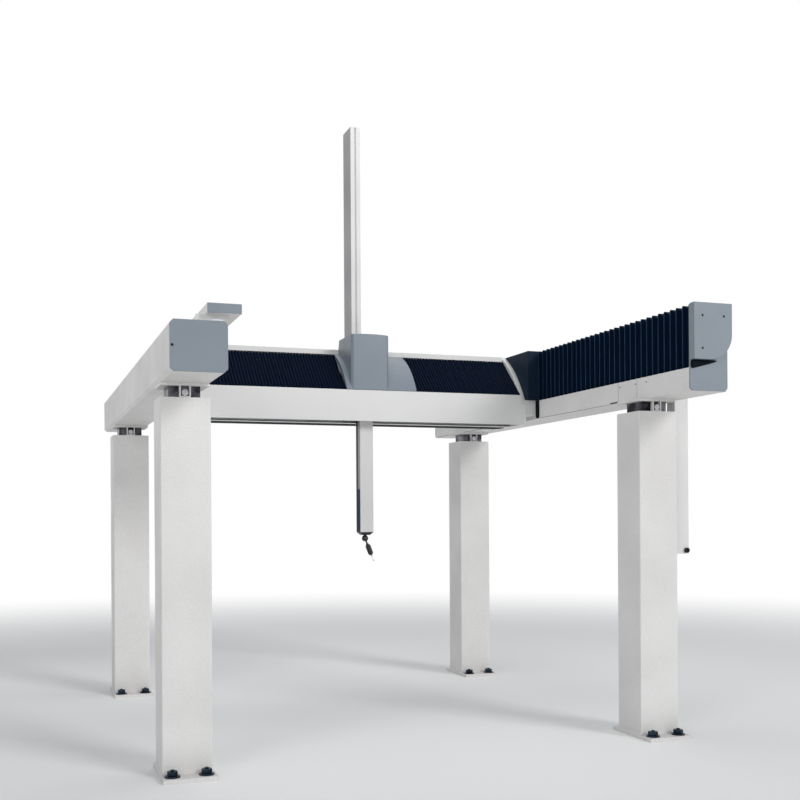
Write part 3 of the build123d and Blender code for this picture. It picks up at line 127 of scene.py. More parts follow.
class Direction(Enum):
    """The way that a grinding or brushing mark runs, as noise scale factors for x, y and z."""

    ALONG_X = (0.02, 1.0, 1.0)
    ALONG_Y = (1.0, 0.02, 1.0)
    NONE = (1.0, 1.0, 1.0)


# Finishes

IOR = 1.5  # of paints, plastics and coated cloth
MIX_SOCKETS = (0, 6, 7)  # a colour mix's share and its two colours
MOST_NOISE = {"From Min": 0.3, "From Max": 0.7}  # what nearly all of a noise lies between
CLOUD_SPAN = {"From Min": 0.35, "From Max": 0.7}  # the upper part of a noise, which makes patches


@dataclass(frozen=True)
class Finish:
    """What every finish shares: its name, clean colour, colour of wear and painted highlight, roughness and
    relief.

    Gloss is how far the roughness falls and rises, and bite how strongly the relief bends the light.
    """

    name: str
    colour: str
    wear_and_highlight: str
    roughness: float
    relief_mm: float = 0.02
    gloss: ClassVar[Pair] = (0.08, 0.1)
    bite: ClassVar[float] = 0.5

    def start(self) -> tuple[bpy.types.Material, Tree, Socket]:
        """Make an empty material.

        Returns:
            The material, its node tree and the object's own coordinates.
        """
        material = bpy.data.materials.new(self.name)
        tree = empty_tree(material)
        return material, tree, add_node(tree, "TexCoord").outputs["Object"]

    def tones(self) -> tuple[Value, Value]:
        """Return the clean colour and the colour of wear and painted highlight, made linear."""
        return linear(self.colour), linear(self.wear_and_highlight)

    def close(
        self,
        tree: Tree,
        colours: tuple[Value, Value, Value],
        noise: Socket,
        height: Socket,
        inputs: dict[str, Value],
    ) -> None:
        """Mix the colour, vary the roughness, raise the relief and add the surface shader.

        Args:
            tree: The material's node tree.
            colours: A share from 0 to 1 and the two colours that it mixes.
            noise: What the roughness follows.
            height: What the relief follows.
            inputs: The shader's other inputs.
        """
        mixed = add_node(tree, "Mix", dict(zip(MIX_SOCKETS, colours)), data_type="RGBA")
        fall, rise = self.gloss
        span = {"To Min": self.roughness - fall, "To Max": self.roughness + rise}
        rough = add_node(tree, "MapRange", {"Value": noise, **MOST_NOISE, **span})
        raised = {"Height": height, "Distance": self.relief_mm * MM, "Strength": self.bite}
        bump = add_node(tree, "Bump", raised)
        look = {"Base Color": mixed.outputs[2], "Roughness": rough.outputs[0], "Normal": bump.outputs[0]}
        shader = add_node(tree, "BsdfPrincipled", {**look, **inputs})
        add_node(tree, "OutputMaterial", {"Surface": shader.outputs["BSDF"]})


@dataclass(frozen=True)
class PowderCoat(Finish):
    """Powder coat baked on steel plate: an even colour over a pebbled skin.

    The eye sees a matt grain on the big faces, cloudy changes of tone and a soft shine on edges.
    Dust greys the lowest part of what stands on the floor, and faces turned to the left and right
    may be given a second colour.
    """

    gloss: ClassVar[Pair] = (0.06, 0.08)
    bite: ClassVar[float] = 0.6
    relief_mm: float = 0.25
    grain_mm: float = 7.0
    speckle: float = 0.5
    foot_dust: float = 0.0
    dust_line: float = 0.22
    sides: str = ""
    aside: float = 0.9
    shine: float = 0.5
    clouds_per_metre: float = 2.2

    def build(self) -> bpy.types.Material:
        """Make the material.

        Returns:
            The finished material.
        """
        material, tree, place = self.start()
        pebbles = {"Vector": place, "Scale": 1 / (self.grain_mm * MM), "Detail": 4.0}
        grain = add_node(tree, "TexNoise", pebbles).outputs["Fac"]
        clouds = {"Vector": place, "Scale": self.clouds_per_metre, "Detail": 5.0}
        cloud = add_node(tree, "TexNoise", clouds).outputs["Fac"]
        layers = [
            {"Value": grain, "From Min": 0.38, "From Max": 0.72, "To Max": self.speckle},
            {"Value": cloud, **CLOUD_SPAN, "To Max": 0.35},
        ]
        if self.foot_dust:
            height = add_node(tree, "SeparateXYZ", {0: place}).outputs["Z"]
            dust = {"From Max": self.dust_line, "To Min": self.foot_dust, "To Max": 0.0}
            layers.append({"Value": height, **dust})
        wear: Value = 0.0
        for layer in layers:
            share = add_node(tree, "MapRange", layer).outputs["Result"]
            wear = add_node(tree, "Math", {0: wear, 1: share}, operation="ADD", use_clamp=True).outputs[0]
        colours = (wear, *self.tones())
        if self.sides:
            base = add_node(tree, "Mix", dict(zip(MIX_SOCKETS, colours)), data_type="RGBA").outputs[2]
            facing = add_node(tree, "TexCoord").outputs["Normal"]
            part = add_node(tree, "SeparateXYZ", {0: facing}).outputs["X"]
            size = add_node(tree, "Math", {0: part}, operation="ABSOLUTE").outputs[0]
            side = add_node(tree, "Math", {0: size, 1: self.aside}, operation="GREATER_THAN").outputs[0]
            colours = (side, base, linear(self.sides))
        skin = {"Specular IOR Level": self.shine, "IOR": IOR}
        self.close(tree, colours, cloud, grain, skin)
        return material


@dataclass(frozen=True)
class CoatedCloth(Finish):
    """Polyurethane-coated woven cloth, folded and heat-set: near black, its fold edges painted paler as a
    highlight.

    The eye sees a soft blue sheen, a fine weave and on every crest a paler line, a painted
    highlight broken into patches.
    """

    relief_mm: float = 0.2
    thread_mm: float = 2.4
    crest: float = 0.86
    crest_highlight_gain: float = 1.3
    shine: float = 0.06
    sheen: str = "#6884B8"
    patches_per_metre: float = 14.0

    def build(self) -> bpy.types.Material:
        """Make the material, which reads the piece's own fold attribute.

        Returns:
            The finished material.
        """
        material, tree, place = self.start()
        fold = add_node(tree, "Attribute", attribute_name="fold").outputs["Fac"]
        # The paler crest line is a painted highlight, broken into patches by the noise below.
        line = {"Value": fold, "From Min": self.crest, "To Max": self.crest_highlight_gain}
        crest = add_node(tree, "MapRange", line, interpolation_type="SMOOTHSTEP").outputs["Result"]
        patches = {"Vector": place, "Scale": self.patches_per_metre, "Detail": 4.0}
        patch = add_node(tree, "TexNoise", patches).outputs["Fac"]
        crest_highlight = add_node(tree, "Math", {0: crest, 1: patch}, operation="MULTIPLY", use_clamp=True).outputs[0]
        threads = {"Vector": place, "Scale": 1 / (self.thread_mm * MM), "Randomness": 0.25}
        weave = add_node(tree, "TexVoronoi", threads).outputs["Distance"]
        skin = {"Specular IOR Level": self.shine, "Specular Tint": linear(self.sheen), "IOR": IOR}
        self.close(tree, (crest_highlight, *self.tones()), patch, weave, skin)
        return material


@dataclass(frozen=True)
class Grained(Finish):
    """A finish whose gloss and relief follow one fine grain, and whose colour wears in patches."""

    grain_mm: float = 1.6
    run: Direction = Direction.NONE
    tarnish: float = 0.5
    patches: ClassVar[dict[str, float]] = {"Scale": 6.0, "Detail": 4.0}
    patch_span: ClassVar[dict[str, float]] = CLOUD_SPAN

    def skin(self) -> dict[str, Value]:
        """Return the shader's inputs that the kind of material sets."""
        raise NotImplementedError

    def build(self) -> bpy.types.Material:
        """Make the material.

        Returns:
            The finished material.
        """
        material, tree, place = self.start()
        drawn = add_node(tree, "Mapping", {"Vector": place, "Scale": self.run.value}).outputs["Vector"]
        marks = {"Vector": drawn, "Scale": 1 / (self.grain_mm * MM), "Detail": 3.0}
        grain = add_node(tree, "TexNoise", marks).outputs["Fac"]
        patch = add_node(tree, "TexNoise", {"Vector": place, **self.patches}).outputs["Fac"]
        dull = {"Value": patch, **self.patch_span, "To Max": self.tarnish}
        share = add_node(tree, "MapRange", dull).outputs["Result"]
        self.close(tree, (share, *self.tones()), grain, grain, self.skin())
        return material


@dataclass(frozen=True)
class WorkedMetal(Grained):
    """Bare metal, ground, milled or plated: streaks along the cut and tarnish in patches."""

    grain_mm: float = 1.2
    tarnish: float = 0.3
    patches: ClassVar[dict[str, float]] = {"Scale": 9.0, "Detail": 5.0}
    patch_span: ClassVar[dict[str, float]] = {"From Min": 0.4, "From Max": 0.75}

    def skin(self) -> dict[str, Value]:
        """Return what makes the shader a metal's."""
        return {"Metallic": 1.0}


@dataclass(frozen=True)
class Moulded(Grained):
    """A moulded or cast body: spark-eroded skin, slight clouding and a low shine."""

    gloss: ClassVar[Pair] = (0.05, 0.07)
    relief_mm: float = 0.05
    coat: float = 0.0
    shine: float = 0.5

    def skin(self) -> dict[str, Value]:
        """Return the strength of the coat and the shine."""
        return {"Coat Weight": self.coat, "Specular IOR Level": self.shine, "IOR": IOR}


FINISHES: dict[str, Finish] = {
    # Polyester powder coat on the welded pillars and beams: pebbled, so it looks matt and grainy.
    # Its real grain of about 1 mm is drawn at 7 mm, or it would not show from 8 m away.
    "beam_coat": PowderCoat("polyester_powder_coat", "#E2E1DF", "#C9C6C4", 0.52, foot_dust=0.3),
    # Smooth satin powder coat on folded sheet: long soft reflections, hardly any grain.
    "panel_coat": PowderCoat(
        "satin_sheet_coat", "#DDDDDB", "#CFCFCD", 0.36, grain_mm=3.0, relief_mm=0.04, speckle=0.2
    ),
    # Blue-grey enamel on the end plates and caps: even and slightly glossy.
    "blue_grey_enamel": PowderCoat(
        "blue_grey_enamel", "#7F8992", "#6F7982", 0.4, grain_mm=4.0, relief_mm=0.08, speckle=0.3
    ),
    # Vacuum-formed and painted skin of the carriage: the same blue-grey with a finer skin.
    "carriage_skin": PowderCoat(
        "painted_moulding", "#7A848E", "#6A747F", 0.38, grain_mm=3.0, relief_mm=0.05, speckle=0.25
    ),
    # Dark enamel on the saddle's housing: blue-black, with a soft edge shine.
    "dark_enamel": PowderCoat(
        "dark_enamel", "#12202F", "#1B2D40", 0.5, grain_mm=4.0, relief_mm=0.08, speckle=0.4, shine=0.08
    ),
    # Sealant in the joints between cover sheets: a dull grey line, also painted shade of the grooves.
    "sealant_and_groove_shade": Moulded("sealant_with_groove_shade", "#8F8E90", "#7E7D80", 0.7, grain_mm=1.0, shine=0.3),
    # Each cloth's second colour is the painted highlight along its crests.
    # Coated guard cloth: its weave of about 0.4 mm is drawn at 2.4 mm to show in close views.
    "guard_cloth": CoatedCloth("coated_guard_cloth", "#040F20", "#35536E", 0.55),
    # The same cloth on the bridge's slope, darker, with a weaker painted highlight on its crests.
    "roof_cloth": CoatedCloth("coated_roof_cloth", "#01081A", "#152540", 0.6),
    # Surface-ground guide steel: long fine streaks, bright and clean.
    "ground_steel": WorkedMetal(
        "surface_ground_steel", "#B9BCBF", "#9A9DA0", 0.28, run=Direction.ALONG_Y, tarnish=0.2
    ),
    # Hard-coated ceramic-grey bars of the ram and column: satin, faces to left and right a darker grey.
    "ram_grey": PowderCoat(
        "hard_coated_ram", "#DAD9D9", "#D0CFCE", 0.34,
        grain_mm=2.0, relief_mm=0.02, speckle=0.15, sides="#7F7E81",
    ),
    # Blackened steel of the wedges, oiled: dark, with bright rubbed places that glint.
    "blackened_steel": WorkedMetal("blackened_steel", "#25232B", "#8C8A92", 0.34, grain_mm=9.0, tarnish=0.9),
    # Black oxide on the anchors: blue-black and slightly oily.
    "black_oxide": WorkedMetal("black_oxide", "#1B2530", "#3A4754", 0.36, grain_mm=5.0, tarnish=0.7),
    # Zinc plate on the jack screws, greyed by handling.
    "zinc_plate": WorkedMetal("zinc_plate", "#C3C5C9", "#8E9197", 0.36, grain_mm=3.0, tarnish=0.6),
    # Milled aluminium of the structure inside the covers.
    "milled_aluminium": WorkedMetal(
        "milled_aluminium", "#C3C5C7", "#A6A8AB", 0.38, run=Direction.ALONG_X, tarnish=0.16
    ),
    # Black anodised aluminium of motors, readers and the probe head: satin, faintly brown at wear.
    "black_anodised": Moulded("black_anodised_aluminium", "#121315", "#1E1F22", 0.34, coat=0.1),
    # Glass-filled nylon of the gland and the ram's drive strip.
    "black_nylon": Moulded("glass_filled_nylon", "#08090B", "#131518", 0.5, shine=0.25),
    # Packed nylon bristles of the slot's brush strips: pale grey and fibrous.
    "brush_nylon": Moulded("nylon_bristle", "#C9C9CB", "#AFAFB2", 0.75, grain_mm=1.2, shine=0.3),
    # Nitrile tread of the friction wheels.
    "nitrile": Moulded("nitrile_tread", "#1A1A1B", "#27272A", 0.7, grain_mm=1.0),
    # Moulded blue-black rubber of the wiper, strip and lips, near black as painted gap shade: dull, with no
    # highlight.
    "shade_rubber": Moulded("rubber_painted_shade", "#050D16", "#0D1824", 0.7, grain_mm=1.0, shine=0.08),
    # Polished synthetic ruby of the stylus tip.
    "ruby": Moulded("synthetic_ruby", "#8E0F22", "#7A0A1C", 0.08, coat=0.6),
}


# Surfaces

SAME_POINT = 1e-6  # metres within which doubled points are merged
WELD_REACH = 1e-5  # metres, joins the loose triangles of a CAD mesh
FLAT_DEGREES = 0.5  # triangles that turn less make one face
EDGE_DEGREES = 35.0  # edges that turn more are rounded
EDGE_STEPS = 2  # faces that a rounded edge is made of
CRISP_DEGREES = 32.0  # edges of new pieces that turn more stay sharp


@dataclass
class Shell:
    """A surface on a grid: points and the four-cornered faces between them."""

    points: np.ndarray
    faces: np.ndarray

    def moved(self, shift: Place) -> "Shell":
        """Return a copy moved by shift."""
        return Shell(self.points + np.array(shift), self.faces)

    @staticmethod
    def from_grid(grid: np.ndarray, around: bool) -> "Shell":
        """Join the points of a grid to faces.

        Args:
            grid: Points as rows, columns and three coordinates.
            around: Whether the last column joins the first.

        Returns:
            The surface.
        """
        rows, columns = grid.shape[:2]
        spans = columns if around else columns - 1
        row, column = np.meshgrid(np.arange(rows - 1), np.arange(spans), indexing="ij")
        right = (column + 1) % columns
        near, far = row * columns, (row + 1) * columns
        corners = np.stack([near + column, near + right, far + right, far + column], axis=-1)
        return Shell(grid.reshape(-1, 3), corners.reshape(-1, 4))

    @staticmethod
    def joined(shells: list["Shell"]) -> "Shell":
        """Put several shells into one.

        Args:
            shells: The shells, which stay apart from each other.

        Returns:
            The one that holds them all.
        """
        starts = np.cumsum([0] + [len(s.points) for s in shells[:-1]])
        faces = np.concatenate([s.faces + start for s, start in zip(shells, starts)])
        return Shell(np.concatenate([s.points for s in shells]), faces)


def even_angles(count: int) -> np.ndarray:
    """Return angles that divide a full turn into count equal parts."""
    return np.arange(count) * 2 * np.pi / count


def upright(radii: np.ndarray, heights: np.ndarray) -> Shell:
    """Join rows of points that stand evenly round the upright axis.

    Args:
        radii: Each point's distance from the axis, rows by columns.
        heights: Each row's height.

    Returns:
        The surface.
    """
    around = radii.shape[1]
    angle = even_angles(around)
    level = np.repeat(heights[:, None], around, axis=1)
    grid = np.stack([radii * np.cos(angle), radii * np.sin(angle), level], axis=-1)
    return Shell.from_grid(grid, around=True)


def turned(
    radii: np.ndarray, heights: np.ndarray, around: int, corners: int = 0, across: float = 0.0
) -> Shell:
    """Turn a profile about the upright axis, cut to a regular prism where corners is given.

    The radius at angle a is the profile's, or where it is less the prism's, which is half
    the width across flats over the cosine of the angle from the middle of the nearest flat.

    Args:
        radii: The profile's radii, zero at both ends so that it closes.
        heights: The profile's heights.
        around: Points round the axis.
        corners: How many flats the prism has, or zero for a round piece.
        across: The prism's width across flats.

    Returns:
        The turned surface.
    """
    angle = even_angles(around)
    reach = np.repeat(radii[:, None], around, axis=1)
    if corners:
        sector = 2 * np.pi / corners
        off_flat = np.mod(angle + sector / 2, sector) - sector / 2
        reach = np.minimum(reach, across / 2 / np.cos(off_flat)[None, :])
    return upright(reach, heights)


def put_up(name: str, data: bpy.types.ID) -> Thing:
    """Make an object and link it into the scene.

    Args:
        name: The object's name.
        data: Its mesh, lamp or camera.

    Returns:
        The object.
    """
    thing = bpy.data.objects.new(name, data)
    bpy.context.scene.collection.objects.link(thing)
    return thing


def to_object(name: str, shell: Shell, closed: bool = True) -> Thing:
    """Make a mesh object from a shell.

    Args:
        name: The piece's name.
        shell: Its points and faces.
        closed: Whether doubled points are merged and the faces turned outwards.

    Returns:
        The object, in the scene, at the origin.
    """
    mesh = bpy.data.meshes.new(name)
    mesh.from_pydata(shell.points.tolist(), [], shell.faces.tolist())
    if closed:
        work = bmesh.new()
        work.from_mesh(mesh)
        bmesh.ops.remove_doubles(work, verts=work.verts, dist=SAME_POINT)
        bmesh.ops.recalc_face_normals(work, faces=work.faces)
        work.to_mesh(mesh)
        work.free()
    mesh.update()
    return put_up(name, mesh)


def shade_smooth(thing: Thing) -> None:
    """Let the light run smoothly over a piece's faces."""
    thing.data.polygons.foreach_set("use_smooth", np.ones(len(thing.data.polygons), bool))


class Workshop:
    """Holds the finished materials and dresses pieces with them."""

    def __init__(self) -> None:
        """Build every finish once."""
        self.materials = {key: finish.build() for key, finish in FINISHES.items()}

    def coat(self, thing: Thing, finish: str) -> None:
        """Give a piece one finish in place of what it has."""
        thing.data.materials.clear()
        thing.data.materials.append(self.materials[finish])

    def dress(self, node: str, finish: str, round_mm: float = 0.0) -> None:
        """Give a CAD node its finish and rounded edges.

        Args:
            node: The node's name.
            finish: A key of FINISHES.
            round_mm: The radius on its outer edges, or zero to leave them crisp.
        """
        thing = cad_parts[node]
        self.coat(thing, finish)
        if round_mm:
            thing.modifiers.new("joined triangles", "WELD").merge_threshold = WELD_REACH
            flat = thing.modifiers.new("whole faces", "DECIMATE")
            flat.decimate_type = "DISSOLVE"
            flat.angle_limit = math.radians(FLAT_DEGREES)
            edge = thing.modifiers.new("rounded edges", "BEVEL")
            edge.width = round_mm * MM
            edge.segments = EDGE_STEPS
            edge.limit_method = "ANGLE"
            edge.angle_limit = math.radians(EDGE_DEGREES)
            edge.harden_normals = True
        LOG.info("%s in %s", node, finish)

    def fit(self, name: str, shell: Shell, finish: str, body: str) -> Thing:
        """Make a new rigid piece, coat it and let it ride on a body.

        Args:
            name: The piece's name.
            shell: Its surface.
            finish: A key of FINISHES.
            body: The body that carries it.

        Returns:
            The piece.
        """
        thing = to_object(name, shell)
        shade_smooth(thing)
        thing.modifiers.new("crisp edges", "EDGE_SPLIT").split_angle = math.radians(CRISP_DEGREES)
        self.coat(thing, finish)
        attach(thing, body)
        LOG.info("%s in %s", name, finish)
        return thing


# Pleated guards


def inverse_smoothstep(weight: float) -> float:
    """Return the share at which the smooth ramp reaches weight."""
    return 0.5 - math.sin(math.asin(1 - 2 * weight) / 3)


@dataclass
class Stretch:
    """Works out where a guard section's ramp of travel would start and end, so that no fold turns inside out.

    A smooth ramp over the whole guard would press its middle folds through each other.
    Shorter sections each use a steep or a shallow part of that ramp, set by the weights at
    their two ends.
    """

    borders: tuple[float, ...]
    rounds: int = 60

    def reach(self, low: float, high: float, low_weight: float, high_weight: float) -> Pair:
        """Find where a section's whole ramp would start and end.

        Args:
            low: The section's end with the smaller weight, in metres.
            high: Its other end.
            low_weight: The weight at low.
            high_weight: The weight at high.

        Returns:
            The places where the ramp is 0 and 1.
        """
        a, b = inverse_smoothstep(low_weight), inverse_smoothstep(high_weight)
        span = (high - low) / (b - a)
        start = low - a * span
        return start, start + span


def fold_wave(phase: np.ndarray, sharp: float = 0.96) -> np.ndarray:
    """Return a rounded zigzag of height -1 to 1: the arc sine of sharp times the cosine, over its top."""
    return np.arcsin(sharp * np.cos(2 * np.pi * phase)) / math.asin(sharp)


def rounded_path(corners: np.ndarray, radius: float, steps: int) -> np.ndarray:
    """Lay points along an open path in a plane, its corners turned in arcs.

    An arc's centre lies off its corner by the sum of the two runs' unit normals, times the radius
    over one plus the cosine of the turn. Its points are the centre less the radius times a normal
    that swings evenly from the first run's to the second's.

    Args:
        corners: The path's points, two coordinates each.
        radius: The arcs' radius.
        steps: Points on each arc.

    Returns:
        The points.
    """
    runs = np.diff(corners, axis=0)
    runs /= np.linalg.norm(runs, axis=1)[:, None]
    normals = np.stack([runs[:, 1], -runs[:, 0]], axis=-1)
    share = np.linspace(0, 1, steps)
    points = [corners[0]]
    for corner, first, second in zip(corners[1:-1], normals[:-1], normals[1:]):
        turn = math.acos(np.clip(first @ second, -1, 1))
        centre = corner + (first + second) * radius / (1 + math.cos(turn))
        side = np.outer(np.sin((1 - share) * turn), first) + np.outer(np.sin(share * turn), second)
        points.extend(centre - side / math.sin(turn) * radius)
    return np.array([*points, corners[-1]])


class Axis(Enum):
    """The axis that a guard folds up along."""

    X = 0
    Y = 1


@dataclass
class Guard:
    """A pleated cloth guard between a fixed end and a moving one.

    Places and sizes are metres in the machine's frame. The outer path is the line of the
    crests across the guard and the inner path the line of the valleys, corner by corner,
    as coordinates in the plane across the travel.
    """

    node: str
    fixed_end: float
    moving_end: float
    border_folds: tuple[int, ...]
    axis: Axis
    fixed_body: str
    moving_body: str
    outer: tuple[Pair, ...]
    inner: tuple[Pair, ...]
    hangs_from: tuple[str, ...]
    cloth: float = 1.4 * MM
    corner: float = 7 * MM
    corner_steps: int = 5
    rows_per_fold: int = 10
    side_step: float = 30 * MM
    slack: float = 0.05
    belly: float = 0.02
    wander: float = 2 * MM
    finish: str = "guard_cloth"

    def across(self) -> tuple[np.ndarray, np.ndarray]:
        """Lay points along the outer and inner paths, the same number on each.

        Returns:
            The outer and inner points.
        """
        paths = [np.array(self.outer), np.array(self.inner)]
        pair = np.stack([rounded_path(path, self.corner, self.corner_steps) for path in paths])
        fine = [pair[:, :1]]
        for i, length in enumerate(np.linalg.norm(np.diff(pair[0], axis=0), axis=1)):
            share = np.linspace(0, 1, max(1, round(length / self.side_step)) + 1)[1:, None]
            here, there = pair[:, i, None], pair[:, i + 1, None]
            fine.append(here + (there - here) * share)
        outer, inner = np.concatenate(fine, axis=1)
        return outer, inner

    def surface(self, first: int, last: int) -> tuple[np.ndarray, np.ndarray]:
        """Work out one section's cloth, from the first fold's crest to the last one's.

        Across the guard a point is mixed from the outer and inner paths. The mix follows a rounded
        zigzag in the fold's phase, 0 on a crest and 1 in a valley. Each valley stops short by up to
        twice slack, the cloth bellies by the share belly between corners, and inside a section the
        creases wander along the travel. The sines' steps only make each fold differ from the next.

        Args:
            first: The fold that the section starts at.
            last: The fold that it ends at.

        Returns:
            The grid of points and how near each is to its crest.
        """
        outer, inner = self.across()
        phase = np.linspace(first, last, (last - first) * self.rows_per_fold + 1)[:, None]
        along_path = np.linspace(0, 1, len(outer))[None, :]
        wave = fold_wave(phase)
        tired = self.slack * (1 + np.sin(2.4 * np.floor(phase) + 0.7)) * (1 - np.cos(2 * np.pi * phase)) / 2
        mix = (1 - wave) / 2 * (1 - tired) + self.belly * np.sin(1.7 * phase + 9 * along_path) * (1 - wave**2)
        plane = outer[None] * (1 - mix[..., None]) + inner[None] * mix[..., None]
        inside = np.sin(np.pi * (phase - first) / (last - first)) ** 2
        wander = self.wander * inside * np.sin(2.9 * phase + 6 * along_path)
        travel = self.fixed_end + (self.moving_end - self.fixed_end) * phase / self.border_folds[-1] + wander
        places = np.insert(plane, self.axis.value, travel, axis=-1)
        return places, np.repeat((1 + wave) / 2, len(outer), axis=1)

    def build(self, shop: Workshop) -> None:
        """Make the guard's sections, each laid along its share of the travel.

        Args:
            shop: The workshop.
        """
        for i, (first, last) in enumerate(zip(self.border_folds[:-1], self.border_folds[1:])):
            grid, near_crest = self.surface(first, last)
            piece = to_object(f"{self.node}_cloth_{i + 1}", Shell.from_grid(grid, around=False), closed=False)
            fold = piece.data.attributes.new("fold", "FLOAT", "POINT")
            fold.data.foreach_set("value", near_crest.astype(np.float32).ravel())
            shade_smooth(piece)
            thick = piece.modifiers.new("cloth thickness", "SOLIDIFY")
            thick.thickness = self.cloth
            thick.offset = 0.0
            shop.coat(piece, self.finish)
            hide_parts(self.node)
            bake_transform(piece)


# Sub-assemblies


@dataclass
class Assembly:
    """A part of the machine whose CAD nodes keep their solids.

    Its dressing gives, for each finish and edge radius in mm, the nodes that have them.
    """

    dressing: dict[tuple[str, float], str]

    def build(self, shop: Workshop) -> None:
        """Dress the assembly's CAD nodes.

        Args:
            shop: The workshop.
        """
        for (finish, round_mm), nodes in self.dressing.items():
            for node in nodes.split():
                shop.dress(node, finish, round_mm)


@dataclass
class FloorAnchors(Assembly):
    """The base plates' anchors: a washer, a hexagon nut and a threaded stud each."""

    lines_x: tuple[float, ...] = (-1.692, 1.544)
    rows_y: tuple[float, ...] = (-1.594, 1.594)
    pitch: float = 200 * MM
    from_pillar: float = 68 * MM
    pillar_half: float = 150 * MM
    plate: float = 26 * MM
    washer_r: float = 46 * MM
    washer: float = 9 * MM
    nut: float = 27 * MM
    nut_across: float = 58 * MM
    stud_r: float = 12 * MM
    stud_above: float = 8 * MM
    thread: float = 3 * MM
    thread_depth: float = 1.2 * MM
    chamfer: float = 1.5 * MM
    point: float = 0.86
    stud_rows: int = 150
    around: int = 48
    weld: float = 8 * MM
    weld_root: float = 2 * MM
    ripple: float = 9 * MM
    ripple_rise: float = 0.14
    ripple_steps: int = 4
    arc_steps: int = 6

    def stud(self) -> Shell:
        """Make a stud, its foot on the floor, with its thread.

        The radius at height z and angle a is the stud's less the thread's depth times a triangle
        wave of z over the pitch less the turn a, so that the groove climbs as a helix.

        Returns:
            The stud.
        """
        top = self.plate + self.washer + self.nut + self.stud_above
        height = np.linspace(0, top - self.chamfer, self.stud_rows)
        angle = even_angles(self.around)
        turn = np.mod(height[:, None] / self.thread - angle[None, :] / (2 * np.pi), 1.0)
        radius = self.stud_r - self.thread_depth * (1 - np.abs(2 * turn - 1))
        radius = np.where(height[:, None] > self.plate, radius, self.stud_r - self.thread_depth)
        centre = np.zeros((1, self.around))
        radius = np.concatenate([centre, radius, self.point * radius[-1:], centre])
        return upright(radius, np.concatenate([[0.0], height, [top, top]]))

    def foot_weld(self) -> Shell:
        """Lay the weld bead round a pillar's foot.

        The path is the pillar's square. At a corner it stays on one point while the outward
        direction sweeps a quarter turn. The section is a quarter arc with its root in the corner
        of pillar and plate, and its leg is longer by ripple_rise times the absolute sine of the
        way over the ripple's spacing, of which a whole number goes round the foot.

        Returns:
            The closed bead about the origin.
        """
        per_side = round(2 * self.pillar_half / self.ripple) * self.ripple_steps
        share = np.append(np.linspace(-1, 1, per_side), np.ones(self.arc_steps - 2))
        sweep = np.append(np.zeros(per_side), np.linspace(0, np.pi / 2, self.arc_steps)[1:-1])
        turn = np.arange(4)[:, None] * np.pi / 2
        angle = (turn + sweep).ravel()
        sides = [np.cos(turn) - share * np.sin(turn), np.sin(turn) + share * np.cos(turn)]
        path = np.stack(sides, axis=-1).reshape(-1, 2) * self.pillar_half
        away = np.stack([np.cos(angle), np.sin(angle)], axis=-1)
        path, away = [np.append(line, line[:1], axis=0) for line in (path, away)]
        way = np.concatenate([[0.0], np.cumsum(np.linalg.norm(np.diff(path, axis=0), axis=1))])
        ripples = round(way[-1] / self.ripple)
        rise = self.ripple_rise * np.abs(np.sin(np.pi * ripples * way / way[-1]))
        leg = self.weld * (1 + rise)[:, None]
        arc = np.linspace(0, np.pi / 2, self.arc_steps)[None, :]
        root = np.full((len(way), 1), -self.weld_root)
        out = np.concatenate([root, leg * np.cos(arc), root], axis=1)
        up = np.concatenate([root, leg * np.sin(arc), leg], axis=1)
        grid = path[:, None, :] + away[:, None, :] * out[..., None]
        return Shell.from_grid(np.concatenate([grid, up[..., None] + self.plate], axis=-1), around=True)

    def build(self, shop: Workshop) -> None:
        """Make all the anchors as one piece in place of the plain ones, and weld the feet.

        Args:
            shop: The workshop.
        """
        super().build(shop)
        ring_r = np.array([0, 1, 1, 0.97, 0.93, 0]) * self.washer_r
        ring_z = self.plate + np.array([0, 0, 0.8, 1, 1, 1]) * self.washer
        corner = self.nut_across / 2 / math.cos(math.pi / 6)
        nut_r = np.array([0, 0.86, 1, 1, 0.86, 0.5, 0.44, 0]) * corner
        nut_z = self.plate + self.washer + np.array([0, 0, 0.12, 0.88, 1, 1, 0.97, 0.97]) * self.nut
        washer = turned(ring_r, ring_z, self.around)
        nut = turned(nut_r, nut_z, 2 * self.around, 6, self.nut_across)
        anchor = Shell.joined([washer, nut, self.stud()])
        anchor = anchor.moved((0.0, -self.pillar_half - self.from_pillar, 0.0))
        feet = [(x, y, 0.0) for x in self.lines_x for y in self.rows_y]
        half = self.pitch / 2
        anchors = [anchor.moved((x + shift, y, z)) for x, y, z in feet for shift in (-half, half)]
        piece = shop.fit("floor_anchor_set", Shell.joined(anchors), "black_oxide", "frame")
        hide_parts("floor_anchors")
        bead = self.foot_weld()
        shop.fit("pillar_foot_welds", Shell.joined([bead.moved(foot) for foot in feet]), "beam_coat", "frame")


